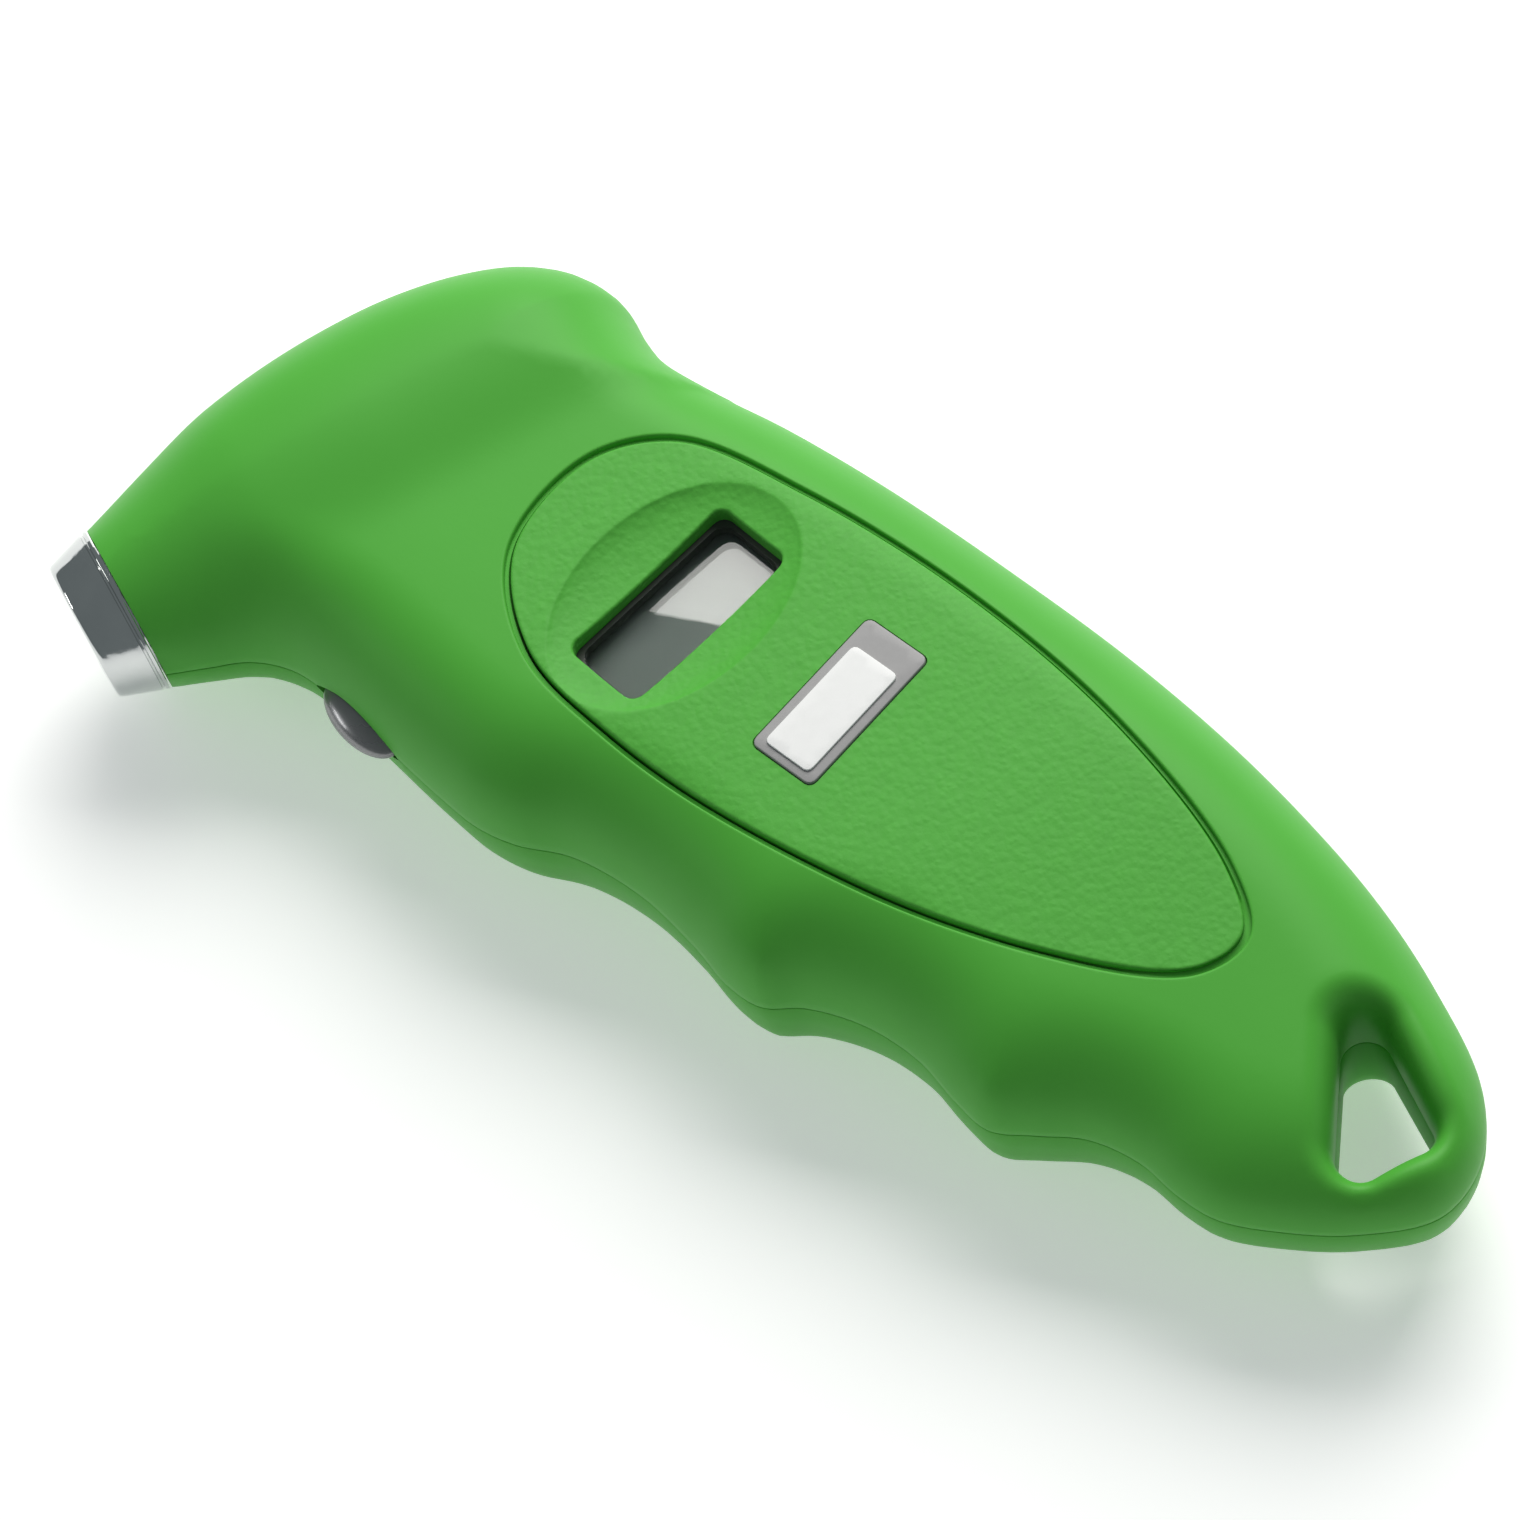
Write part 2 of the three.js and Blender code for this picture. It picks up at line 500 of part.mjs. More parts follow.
const collarSection = [
  [TIP_X, MOUTH_RADIUS + 0.7], [TIP_X + 0.7, MOUTH_RADIUS], [NOZZLE_X - 1, MOUTH_RADIUS],
  [NOZZLE_X - 1, 5.9], [NOZZLE_X + 6, 5.9], [NOZZLE_X + 6, SLEEVE_RADIUS],
  [NOZZLE_X - 0.2, SLEEVE_RADIUS], [NOZZLE_X - 0.2, NOZZLE_RADIUS], [TIP_X + 0.7, TIP_RADIUS],
  [TIP_X, TIP_RADIUS - 0.6],
];
const bodyFront = NOZZLE_X + 3;
const chuckSection = [
  [bodyFront, 2.6], [bodyFront, 5.6], [NOZZLE_X + 6.3, 5.6], [NOZZLE_X + 6.3, 7], [NOZZLE_X + 9, 7],
  [NOZZLE_X + 9, 5.4], [CHUCK_END_X - 3, 5.4], [CHUCK_END_X, 3.6], [CHUCK_END_X, SPIGOT_RADIUS],
  [CHUCK_END_X + 5, SPIGOT_RADIUS], [CHUCK_END_X + 5, 0.6], [bodyFront + 9, 0.6],
  [bodyFront + 9, 1.3], [bodyFront + 2, 1.3], [bodyFront + 2, 2.6],
];
addPiece('chuck_collar', turned(collarSection, 32), FINISH.chrome);
addPiece('chuck_body', turned(chuckSection), FINISH.brass);
addPiece('valve_seal', turned([[NOZZLE_X - 0.7, 1.9], [bodyFront - 0.3, 1.9], [bodyFront - 0.3, 5.6],
  [NOZZLE_X - 0.7, 5.6]]), FINISH.rubber);
addPiece('depressor_pin', turned([[NOZZLE_X - 2, 0], [bodyFront + 8, 0], [bodyFront + 8, 0.9],
  [bodyFront + 1.7, 0.9], [bodyFront + 1.7, 2.2], [bodyFront + 0.4, 2.2], [bodyFront + 0.4, 0.9],
  [NOZZLE_X - 1.7, 0.9]], 16), FINISH.brass);
addPiece('chuck_o_ring', new THREE.TorusGeometry(6.55, 0.85, 6, 20).rotateY(Math.PI / 2)
  .translate(NOZZLE_X + 10.2, AXIS_Y, 0), FINISH.rubber);

// ---------------------------------------------------------------- push button and its switch

function pushButton() {
  const dome = toSolid(new THREE.SphereGeometry(1, 20, 12)
    .scale(BUTTON.domeHeight, BUTTON.halfLength, BUTTON.halfWidth).translate(BUTTON.domeBase, 0, 0));
  const outside = toSolid(block(BUTTON.domeBase, 10, -10, 10, -10, 10));
  const neck = toSolid(buttonPrism(BUTTON.halfLength, BUTTON.halfWidth, -3.8, BUTTON.domeBase + 0.1));
  const flange = toSolid(block(-4.8, -3.7, -7.6, 7.6, -4, 4));
  return joined(dome.intersect(outside), neck, flange);
}

function switchBody() {
  const box = toSolid(block(-9.6, -6.1, -3.1, 3.1, BOARD_TOP_Z + 0.05, BOARD_TOP_Z + 3.6));
  const bore = toSolid(new THREE.CylinderGeometry(1.3, 1.3, 4, 16).rotateZ(Math.PI / 2)
    .translate(-6.1, 0, SWITCH_Z));
  return box.subtract(bore);
}

addPiece('push_button', toGeometry(pushButton()), FINISH.darkPlastic, buttonGroup);
addPiece('switch_body', toGeometry(switchBody()), FINISH.blackPlastic, buttonGroup);
addPiece('switch_plunger', new THREE.CylinderGeometry(1, 1, 1.9, 16).rotateZ(Math.PI / 2)
  .translate(-6.05, 0, SWITCH_Z), FINISH.rubber, buttonGroup);

// ---------------------------------------------------------------- battery

function batteryHolder() {
  const low = CELL.top - CELL.height;
  const high = BOARD_TOP_Z - BOARD_THICKNESS - 0.1;
  const ring = cutAway(toSolid(disc(CELL.x, CELL.y, 12.2, low, high, 40)),
    toSolid(disc(CELL.x, CELL.y, CELL.radius + 0.9, low - 1, high + 1, 40)));
  const clipGap = toSolid(block(CELL.x - 14, CELL.x, CELL.y - 3.6, CELL.y + 3.6, low - 1, high + 1));
  return ring.subtract(clipGap);
}

// Leaf spring under the board: a flat foot, a sloping arm and a contact pad, cut from one strip.
function negativeContact() {
  const leaf = 0.3;
  const foot = BOARD_TOP_Z - BOARD_THICKNESS - 0.1;
  const pad = CELL.top + 0.1 + leaf;
  const side = new THREE.Shape();
  side.moveTo(-7, foot - leaf);
  side.lineTo(-3, foot - leaf);
  side.lineTo(2, pad - leaf);
  side.lineTo(6, pad - leaf);
  side.lineTo(6, pad);
  side.lineTo(2.2, pad);
  side.lineTo(-2.8, foot);
  side.lineTo(-7, foot);
  return new THREE.ExtrudeGeometry(side, { depth: 5, bevelEnabled: false })
    .rotateX(Math.PI / 2).translate(CELL.x, CELL.y + 2.5, 0);
}

// The door turns about its own centre: flange, plug, two bayonet lugs and a coin slot.
function batteryDoor() {
  const low = -REAR.depth;
  const flange = toSolid(disc(0, 0, DOOR.radius, low, low + DOOR.flange, 48));
  const plug = toSolid(disc(0, 0, DOOR.plugRadius, low, DOOR.plugTop, 48));
  const lugs = bayonet(DOOR.lugReach, DOOR.lugHalfAngle, 0, DOOR.plugTop - DOOR.lugHeight, DOOR.plugTop)
    .map((sector) => toSolid(sector));
  const coinSlot = toSolid(block(-8, 8, -1, 1, low - 1, low + 1));
  return joined(flange, plug, ...lugs).subtract(coinSlot);
}

addPiece('battery_holder', toGeometry(batteryHolder()), FINISH.blackPlastic);
addPiece('coin_cell', disc(CELL.x, CELL.y, CELL.radius, CELL.top - CELL.height, CELL.top, 40),
  FINISH.steel);
addPiece('battery_contact_positive', block(CELL.x - CELL.radius - 0.7, CELL.x - CELL.radius - 0.3,
  CELL.y - 3, CELL.y + 3, CELL.top - 2.6, BOARD_TOP_Z - BOARD_THICKNESS - 0.1), FINISH.steel);
addPiece('battery_contact_negative', negativeContact(), FINISH.steel);
const door = addPiece('battery_door', toGeometry(batteryDoor()), FINISH.caseGreen);
door.position.set(CELL.x, CELL.y, 0);

// ---------------------------------------------------------------- screws

// Pan-head screw with its head below z = 0 and a cross recess left by two crossed slots.
function screwGeometry(shankRadius, headRadius, headHeight, length) {
  const shank = toSolid(disc(0, 0, shankRadius, -0.1, length, 12));
  const head = toSolid(disc(0, 0, headRadius, -headHeight, 0, 20));
  const slots = [[1.6, 0.35], [0.35, 1.6]].map(([x, y]) => (
    toSolid(block(-x, x, -y, y, -headHeight - 1, -headHeight + 0.8))));
  return toGeometry(cutAway(joined(shank, head), ...slots));
}

const caseScrew = screwGeometry(SCREW.shankRadius, SCREW.headRadius, SCREW.headHeight, SCREW.length);
CASE_SCREWS.forEach(([x, y], i) => {
  addPiece(`case_screw_${i + 1}`, caseScrew, FINISH.steel).position.set(x, y, SCREW.seatZ - 0.1);
});
const boardScrew = screwGeometry(0.8, 1.9, 1.2, 6);
BOARD_SCREWS.forEach(([x, y], i) => {
  addPiece(`board_screw_${i + 1}`, boardScrew, FINISH.steel)
    .position.set(x, y, BOARD_TOP_Z - BOARD_THICKNESS - 0.1);
});

// ---------------------------------------------------------------- stand the gauge on its back

gauge.updateMatrixWorld(true);
const bounds = new THREE.Box3().setFromObject(gauge);
const middle = bounds.getCenter(new THREE.Vector3());
gauge.position.set(-middle.x, -middle.y, -bounds.min.z);

export default gauge;
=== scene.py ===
import json
import math

import bmesh
import bpy
import numpy as np
from mathutils import Matrix, Vector
from mathutils.geometry import delaunay_2d_cdt


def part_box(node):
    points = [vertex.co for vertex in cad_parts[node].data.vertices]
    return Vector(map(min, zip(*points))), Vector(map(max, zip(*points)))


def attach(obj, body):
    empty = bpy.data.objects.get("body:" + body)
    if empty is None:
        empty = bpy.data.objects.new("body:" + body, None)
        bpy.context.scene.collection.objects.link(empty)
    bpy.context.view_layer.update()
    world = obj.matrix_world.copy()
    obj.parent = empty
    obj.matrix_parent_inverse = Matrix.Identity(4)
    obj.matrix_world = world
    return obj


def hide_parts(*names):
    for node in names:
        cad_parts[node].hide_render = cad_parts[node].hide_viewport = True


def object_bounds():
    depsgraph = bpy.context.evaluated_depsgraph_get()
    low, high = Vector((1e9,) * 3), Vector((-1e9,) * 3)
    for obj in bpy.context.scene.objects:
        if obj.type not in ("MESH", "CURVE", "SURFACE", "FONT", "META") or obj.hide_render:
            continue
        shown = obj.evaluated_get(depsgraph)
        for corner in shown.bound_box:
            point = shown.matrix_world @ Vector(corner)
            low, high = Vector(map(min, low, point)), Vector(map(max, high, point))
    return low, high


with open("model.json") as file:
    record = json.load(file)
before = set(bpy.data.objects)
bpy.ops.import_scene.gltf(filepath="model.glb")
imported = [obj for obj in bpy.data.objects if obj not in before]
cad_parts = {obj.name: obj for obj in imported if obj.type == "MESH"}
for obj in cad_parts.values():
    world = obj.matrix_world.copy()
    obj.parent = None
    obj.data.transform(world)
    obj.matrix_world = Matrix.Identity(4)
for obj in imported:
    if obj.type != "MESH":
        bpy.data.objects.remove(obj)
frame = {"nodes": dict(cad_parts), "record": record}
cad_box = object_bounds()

# Lengths are millimetres on the case's own plane: z = 0 is the parting plane, the nozzle axis is at y = 52,
# and the display looks towards +Z. place() turns them into metres in the row frame.

# ---------------------------------------------------------------- the case, in millimetres

PALM_SIDE = [
    (-47.5, 61.2), (-40, 63.9), (-32, 66.2), (-24, 67.7), (-16, 68.3), (-8, 68), (0, 66.3), (6.6, 63.3),
    (11.1, 59.1), (13.4, 54), (13.3, 49.2), (13.7, 44.8), (16.4, 38.4), (20.9, 29.8), (26.2, 17.7),
    (31.8, 2.4), (36.8, -13.1), (40.8, -30), (42.9, -46), (42.8, -58), (41, -69), (36.8, -75.2),
]
BUTT_TIP = (31, -77.6)
FINGER_SIDE = [
    (-47.5, 42.5), (-43.5, 40.8), (-39.3, 38.9), (-36, 35.5), (-33.9, 30.5), (-32.2, 24), (-29.6, 14),
    (-27.8, 8.6), (-25.4, 4.8), (-21.2, 0.5), (-17.4, -6.9), (-15.4, -15), (-14.6, -20.5), (-12.9, -24.3),
    (-9.2, -26.8), (-5.2, -31.6), (-2.6, -37.6), (-1.7, -43.4), (-0.5, -47.5), (3, -50.3), (7.1, -53.4),
    (10, -58), (11.3, -62.7), (13.2, -66.8), (17.6, -71), (23.5, -75),
]
NOZZLE_X = -47.5
NOZZLE_RADIUS = 9.3
AXIS_Y = 52
HEAD_MIDDLE_X = -16
HEAD_HALF_WIDTH = 17.5
WALL = 1.7
SEAM_Z = 0.05
SEAM_CORNER = 0.2

FRONT = {"depth": 12.6, "butt": 9, "taper_y": -20, "round": 11.5, "power": 2.1,
         "head": 14.3, "nose": 0.45, "nose_end": -30}
REAR = {"depth": 13.5, "butt": 10, "taper_y": -42, "round": 8, "power": 2.7,
        "head": 13.2, "nose": 0.3, "nose_end": -20}
BUTT_Y = -78
CROWN = 0.05
CROWN_WIDTH = 18
BLEND_POWER = 9

PANEL_OUTLINE = [
    (0, 33.6), (9.2, 30.4), (17, 18), (25, -1), (30, -21), (31.3, -41), (28.8, -48), (22.5, -48.6),
    (10, -38.2), (-4, -18), (-13.4, 4), (-15.9, 17), (-11.5, 28.6),
]
PANEL_GROOVE = 0.7
GROOVE_DEPTH = 0.65
PANEL_BASE_Z = 10.5
BED_TOP_Z = 10.3
LIP = 0.28

DISPLAY = {"x": -0.1, "y": 13.6, "angle": math.radians(16.5)}
WINDOW = {"length": 21.6, "width": 9.6, "corner": 1.3, "low": 9.8, "collar": 1.2}
DISH = {"x": -0.1, "y": 14.1, "half_length": 15, "half_width": 10.5, "depth": 1.9, "top": 12.9}
BADGE = {"x": 8.1, "y": -5.6, "angle": math.radians(20), "length": 17.6, "width": 7.9, "corner": 0.8}
LABEL = {"length": 13.4, "width": 5.8, "corner": 0.6, "shift": -1.2}

EYE_CENTRES = [(33.3, -60.8), (27.3, -69.6), (32.3, -69.9)]
EYE_RADIUS = 2.5
EYE_ROUND = 3.3
EYE_DROP = 5.2
EYE_REACH = 5.4
RIM_SHARE = 0.36

BUTTON = {"x": -32.7, "y": 26.5, "angle": math.radians(190.3), "half_length": 5.7, "half_width": 2,
          "height": 2.9, "base": -0.5, "neck_end": -3.6, "flange": 1.3, "flange_end": -4.75}
SLOT = {"half_length": 6.5, "half_width": 2.2, "gap": 0.12, "from": -3.4, "to": 7}

DOOR = {"x": 17, "y": -28, "radius": 12.4, "gap": 0.3, "seat_z": 12.1, "hole": 11.1, "hole_z": 11.8}
CASE_SCREWS = [(5, 58), (-24, 38.5), (27, -4), (22, -55)]
SCREW_WELL = 2.9
SCREW_HOLE = 1.5
SCREW_SEAT_Z = 4.5
BOSS_WALL = 1.7
WINDOW_TOP_Z = 8.4

# ---------------------------------------------------------------- places

collar_low, collar_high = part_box("chuck_collar")
TIP_X = -53
PLANE_ORIGIN = np.array([
    collar_low.x * 1000 - TIP_X,
    (collar_low.y + collar_high.y) * 500 - AXIS_Y,
    (collar_low.z + collar_high.z) * 500,
])


def place(points):
    """Millimetres on the case's plane to metres in the row frame."""
    return (np.asarray(points, float) + PLANE_ORIGIN) / 1000


def turned_about(points, middle, angle):
    """Flat points, given along a turned piece's own length and width, moved to that piece's place."""
    points = np.asarray(points, float)
    c, s = math.cos(angle), math.sin(angle)
    return np.column_stack([
        middle[0] + c * points[:, 0] - s * points[:, 1],
        middle[1] + s * points[:, 0] + c * points[:, 1],
    ])


# ---------------------------------------------------------------- lines and outlines

def smooth_line(points, closed=False):
    """Centripetal Catmull-Rom line through given points."""
    per_span = 20
    p = np.asarray(points, float)
    if closed:
        p = np.vstack([p[-1], p, p[0], p[1]])
    else:
        p = np.vstack([2 * p[0] - p[1], p, 2 * p[-1] - p[-2]])
    line = []
    for a, b, c, d in zip(p, p[1:], p[2:], p[3:]):
        before, span, after = [math.sqrt(np.linalg.norm(q - r)) for q, r in ((b, a), (c, b), (d, c))]
        leave = span * ((b - a) / before - (c - a) / (before + span) + (c - b) / span)
        arrive = span * ((c - b) / span - (d - b) / (span + after) + (d - c) / after)
        for t in np.arange(per_span) / per_span:
            line.append(b + leave * t + (3 * (c - b) - 2 * leave - arrive) * t * t
                        + (2 * (b - c) + leave + arrive) * t ** 3)
    if not closed:
        line.append(p[-2])
    return np.array(line)


def evenly(line, step, closed=False):
    """The same line with its points about one step apart."""
    if closed:
        line = np.vstack([line, line[:1]])
    reach = np.concatenate([[0], np.cumsum(np.linalg.norm(np.diff(line, axis=0), axis=1))])
    count = max(3, round(reach[-1] / step))
    at = np.linspace(0, reach[-1], count + 1)
    if closed:
        at = at[:-1]
    return np.column_stack([np.interp(at, reach, line[:, 0]), np.interp(at, reach, line[:, 1])])


def leftwards(line, closed):
    """Unit directions to the left of travel, at each point of a line."""
    if closed:
        along = np.roll(line, -1, axis=0) - np.roll(line, 1, axis=0)
    else:
        along = np.gradient(line, axis=0)
    along /= np.linalg.norm(along, axis=1)[:, None]
    return np.column_stack([-along[:, 1], along[:, 0]])


def hull_outline(centres, radius):
    """Anticlockwise outline round equal circles."""
    step = 0.35
    corners = []
    count = len(centres)
    for i, centre in enumerate(centres):
        before, after = np.array(centres[i - 1]), np.array(centres[(i + 1) % count])
        start = math.atan2(*(np.array(centre) - before)[::-1]) - math.pi / 2
        end = math.atan2(*(after - np.array(centre))[::-1]) - math.pi / 2
        sweep = (end - start) % (2 * math.pi)
        for t in np.linspace(0, 1, max(4, round(radius * sweep / step * 1.5))):
            turn = start + sweep * t
            corners.append((centre[0] + radius * math.cos(turn), centre[1] + radius * math.sin(turn)))
    return evenly(np.array(corners), step, closed=True)


def rounded_rectangle(length, width, corner):
    x, y = length / 2 - corner, width / 2 - corner
    return hull_outline([(-x, -y), (x, -y), (x, y), (-x, y)], corner)


def circle(x, y, radius, count):
    turn = np.arange(count) * 2 * math.pi / count
    return np.column_stack([x + radius * np.cos(turn), y + radius * np.sin(turn)])


def offset_from(points, line, closed):
    """The shortest vector from a line to each point."""
    start = line if closed else line[:-1]
    step = (np.roll(line, -1, axis=0) if closed else line[1:]) - start
    squared = (step ** 2).sum(1) + 1e-12
    offset = np.empty((len(points), 2))
    for first in range(0, len(points), 3000):
        away = points[first:first + 3000, None] - start
        t = np.clip((away * step).sum(2) / squared, 0, 1)
        away = away - t[..., None] * step
        closest = (away ** 2).sum(2).argmin(1)
        offset[first:first + 3000] = away[np.arange(len(away)), closest]
    return offset


def distance_to(points, line, closed):
    """Shortest distance from each point to a line."""
    return np.linalg.norm(offset_from(points, line, closed), axis=1)


def within(points, outline):
    """True for each point inside a closed outline."""
    after = np.roll(outline, -1, axis=0)
    inside = np.zeros(len(points), bool)
    for first in range(0, len(points), 3000):
        x, y = points[first:first + 3000, 0, None], points[first:first + 3000, 1, None]
        crosses = (outline[:, 1] > y) != (after[:, 1] > y)
        rise = np.where(after[:, 1] == outline[:, 1], 1, after[:, 1] - outline[:, 1])
        at = outline[:, 0] + (y - outline[:, 1]) * (after[:, 0] - outline[:, 0]) / rise
        inside[first:first + 3000] = (crosses & (x < at)).sum(1) % 2 == 1
    return inside


def signed_distance(points, outline):
    """Distance to a closed outline, positive inside it."""
    distance = distance_to(points, outline, True)
    return np.where(within(points, outline), distance, -distance)


# ---------------------------------------------------------------- the form of the case

rim = smooth_line([*PALM_SIDE, BUTT_TIP, *FINGER_SIDE[::-1]])[::-1]
NOSE_FLARE = 0.35
NOSE_REACH = 14
edge_line = np.vstack([
    (NOZZLE_X - NOSE_REACH, AXIS_Y - NOZZLE_RADIUS + NOSE_FLARE * NOSE_REACH),
    evenly(rim, 1.2),
    (NOZZLE_X - NOSE_REACH, AXIS_Y + NOZZLE_RADIUS - NOSE_FLARE * NOSE_REACH),
])
panel_outline = evenly(smooth_line(PANEL_OUTLINE[::-1], closed=True), 0.6, closed=True)
eye_outline = hull_outline(EYE_CENTRES, EYE_RADIUS)


def smoothstep(value, low, high):
    t = np.clip((value - low) / (high - low), 0, 1)
    return t * t * (3 - 2 * t)


def mix(a, b, share):
    return a + (b - a) * share


def edge_distances(points):
    """Distance to the edge, and a softened one without creases where the edge bends sharply outwards."""
    nearest = distance_to(points, edge_line, False)
    middles = (edge_line[1:] + edge_line[:-1]) / 2
    lengths = np.linalg.norm(np.diff(edge_line, axis=0), axis=1)
    soft = np.empty(len(points))
    for first in range(0, len(points), 3000):
        away = np.linalg.norm(points[first:first + 3000, None] - middles, axis=2)
        pull = (lengths / np.maximum(away, 0.2) ** 5).sum(1)
        soft[first:first + 3000] = (4 / 3 / pull) ** 0.25
    return nearest, mix(nearest, soft, smoothstep(nearest, 1.5, 4))


def case_height(points, half):
    """Height of one half of the case above the parting plane."""
    nearest, soft = edge_distances(points)
    x, y = points.T
    nose = mix(half["nose"], 1, smoothstep(x, -52, half["nose_end"]))
    taper = smoothstep(half["taper_y"] - y, 0, half["taper_y"] - BUTT_Y)
    depth = mix(half["depth"], half["butt"], taper)
    crown = 1 - (1 - np.minimum(1, soft / CROWN_WIDTH)) ** 2
    share = np.clip(soft / half["round"], 0, 1)
    rounded = np.maximum(0, 1 - (1 - share) ** half["power"]) ** (1 / half["power"])
    grip = depth * nose * rounded * (1 - CROWN + CROWN * crown)
    ahead = np.clip((HEAD_MIDDLE_X - x) / (HEAD_MIDDLE_X - NOZZLE_X), 0, 2) ** 2
    half_width = HEAD_HALF_WIDTH - (HEAD_HALF_WIDTH - NOZZLE_RADIUS) * ahead
    head_depth = half["head"] - (half["head"] - NOZZLE_RADIUS) * ahead
    off = np.maximum(1 - np.minimum(1, nearest / half_width), (AXIS_Y - y) / half_width)
    head = head_depth * np.sqrt(np.maximum(0, 1 - off * off))
    height = (grip ** BLEND_POWER + head ** BLEND_POWER) ** (1 / BLEND_POWER)
    return np.minimum(height, half["depth"]) if half is REAR else height


def lip_drop(distance, radius, fall=None):
    """How far a rounded edge falls near where it turns upright: a quarter of a circle or ellipse."""
    left = np.clip(radius - distance, 0, radius) / radius
    return (fall or radius) * (1 - np.sqrt(np.maximum(0, 1 - left ** 2)))


# ---------------------------------------------------------------- sheets with a second side

class Loop:
    """A boundary of a sheet, with the material to its left, and the steps its wall takes downwards.

    At the plain points the wall goes straight from the upper to the under sheet.
    """

    def __init__(self, points, steps=(), left=None, plain=None, under_inset=0.0, top=None):
        self.points = np.asarray(points, float)
        self.steps = list(steps)
        self.left = leftwards(self.points, True) if left is None else left
        self.plain = np.zeros(len(self.points), bool) if plain is None else plain
        self.under_inset = under_inset
        self.top = top


def rings(line, distances, closed=True):
    """Copies of a line to its left, without the stretches that fold over themselves in a bend."""
    left = leftwards(line, closed)
    kept = []
    for distance in distances:
        moved = line + left * distance
        kept.append(moved[distance_to(moved, line, closed) > 0.97 * abs(distance) - 0.002])
    return np.vstack(kept)


def clear_of(points, line, gap, closed=True):
    return points[distance_to(points, line, closed) > gap]


def grid(low, high, step):
    """Points of a triangular grid over a rectangle."""
    rows = []
    for row, y in enumerate(np.arange(low[1], high[1], step * 0.866)):
        x = np.arange(low[0] + (row % 2) * step / 2, high[0], step)
        rows.append(np.column_stack([x, np.full(len(x), y)]))
    return np.vstack(rows)


def level(z):
    """The same height for each of some points."""
    return lambda points: np.full(len(points), float(z))


CLEARANCE = 0.02


def triangles_between(loops, inner):
    """Delaunay triangles of the sheet; the loops' points come first, then the inner ones that are used."""
    outer, holes = loops[0].points, [loop.points for loop in loops[1:]]
    keep = within(inner, outer) & (distance_to(inner, outer, True) > CLEARANCE)
    for hole in holes:
        keep &= ~within(inner, hole) & (distance_to(inner, hole, True) > CLEARANCE)
    points = np.vstack([outer, *holes, inner[keep]])
    edges = []
    start = 0
    for loop in loops:
        count = len(loop.points)
        edges += [(start + i, start + (i + 1) % count) for i in range(count)]
        start += count
    flat = [Vector((float(x), float(y))) for x, y in points]
    found, _, faces, came_from, _, _ = delaunay_2d_cdt(flat, edges, [], 0, 1e-6)
    first = [min(sources) if sources else None for sources in came_from]
    if None in first:
        raise RuntimeError("an outline crosses itself")
    faces = np.array([[first[i] for i in face] for face in faces])
    corners = points[faces]
    u, v = corners[:, 1] - corners[:, 0], corners[:, 2] - corners[:, 0]
    area = u[:, 0] * v[:, 1] - u[:, 1] * v[:, 0]
    faces = np.where(area[:, None] < 0, faces[:, ::-1], faces)
    middles = corners.mean(1)
    keep = within(middles, outer) & (np.abs(area) > 1e-9)
    for hole in holes:
        keep &= ~within(middles, hole)
    return points, faces[keep]


def sheet_normals(points, faces):
    a, b, c = points[faces[:, 0]], points[faces[:, 1]], points[faces[:, 2]]
    across = np.cross(b - a, c - a)
    normals = np.zeros_like(points)
    for corner in range(3):
        np.add.at(normals, faces[:, corner], across)
    return normals / np.maximum(np.linalg.norm(normals, axis=1), 1e-12)[:, None]


SMOOTH_BELOW = 38


def smooth_faces(mesh, smooth_below=SMOOTH_BELOW):
    """Smooth shading up to an angle between faces, in degrees."""
    mesh.shade_smooth()
    mesh.set_sharp_from_angle(angle=math.radians(smooth_below))


def mesh_piece(name, points, faces, smooth_below=SMOOTH_BELOW):
    """A mesh object in the row frame from millimetre points."""
    mesh = bpy.data.meshes.new(name)
    mesh.from_pydata([tuple(p) for p in place(points)], [], [tuple(int(i) for i in f) for f in faces])
    mesh.update()
    smooth_faces(mesh, smooth_below)
    piece = bpy.data.objects.new(name, mesh)
    bpy.context.scene.collection.objects.link(piece)
    return piece


def face_outwards(mesh):
    """Turns every face of a closed mesh so that its front is outside."""
    fix = bmesh.new()
    fix.from_mesh(mesh)
    bmesh.ops.recalc_face_normals(fix, faces=fix.faces)
    fix.to_mesh(mesh)
    fix.free()


def wall_under(xy, faces, top, loops, top_height, base_height):
    """Inner side of a wall: a wall's thickness inside the smooth form, and drawn back from the holes."""
    smooth = np.column_stack([xy, base_height(xy)])
    under = smooth - WALL * sheet_normals(smooth, faces)
    under[:, 2] = np.maximum(under[:, 2], SEAM_CORNER)
    for loop in loops[1:]:
        if loop.under_inset:
            offset = offset_from(xy, loop.points, True)
            gap = np.maximum(np.linalg.norm(offset, axis=1), 1e-6)[:, None]
            near = np.clip(1 - gap / (3 * loop.under_inset), 0, 1)
            kept = (under[:, :2] - xy) * (1 - near)
            under[:, :2] = xy + kept + offset / gap * near * loop.under_inset
    room = np.minimum(top, top_height(under[:, :2])) - WALL / 2
    under[:, 2] = np.maximum(np.minimum(under[:, 2], room), SEAM_CORNER)
    return under


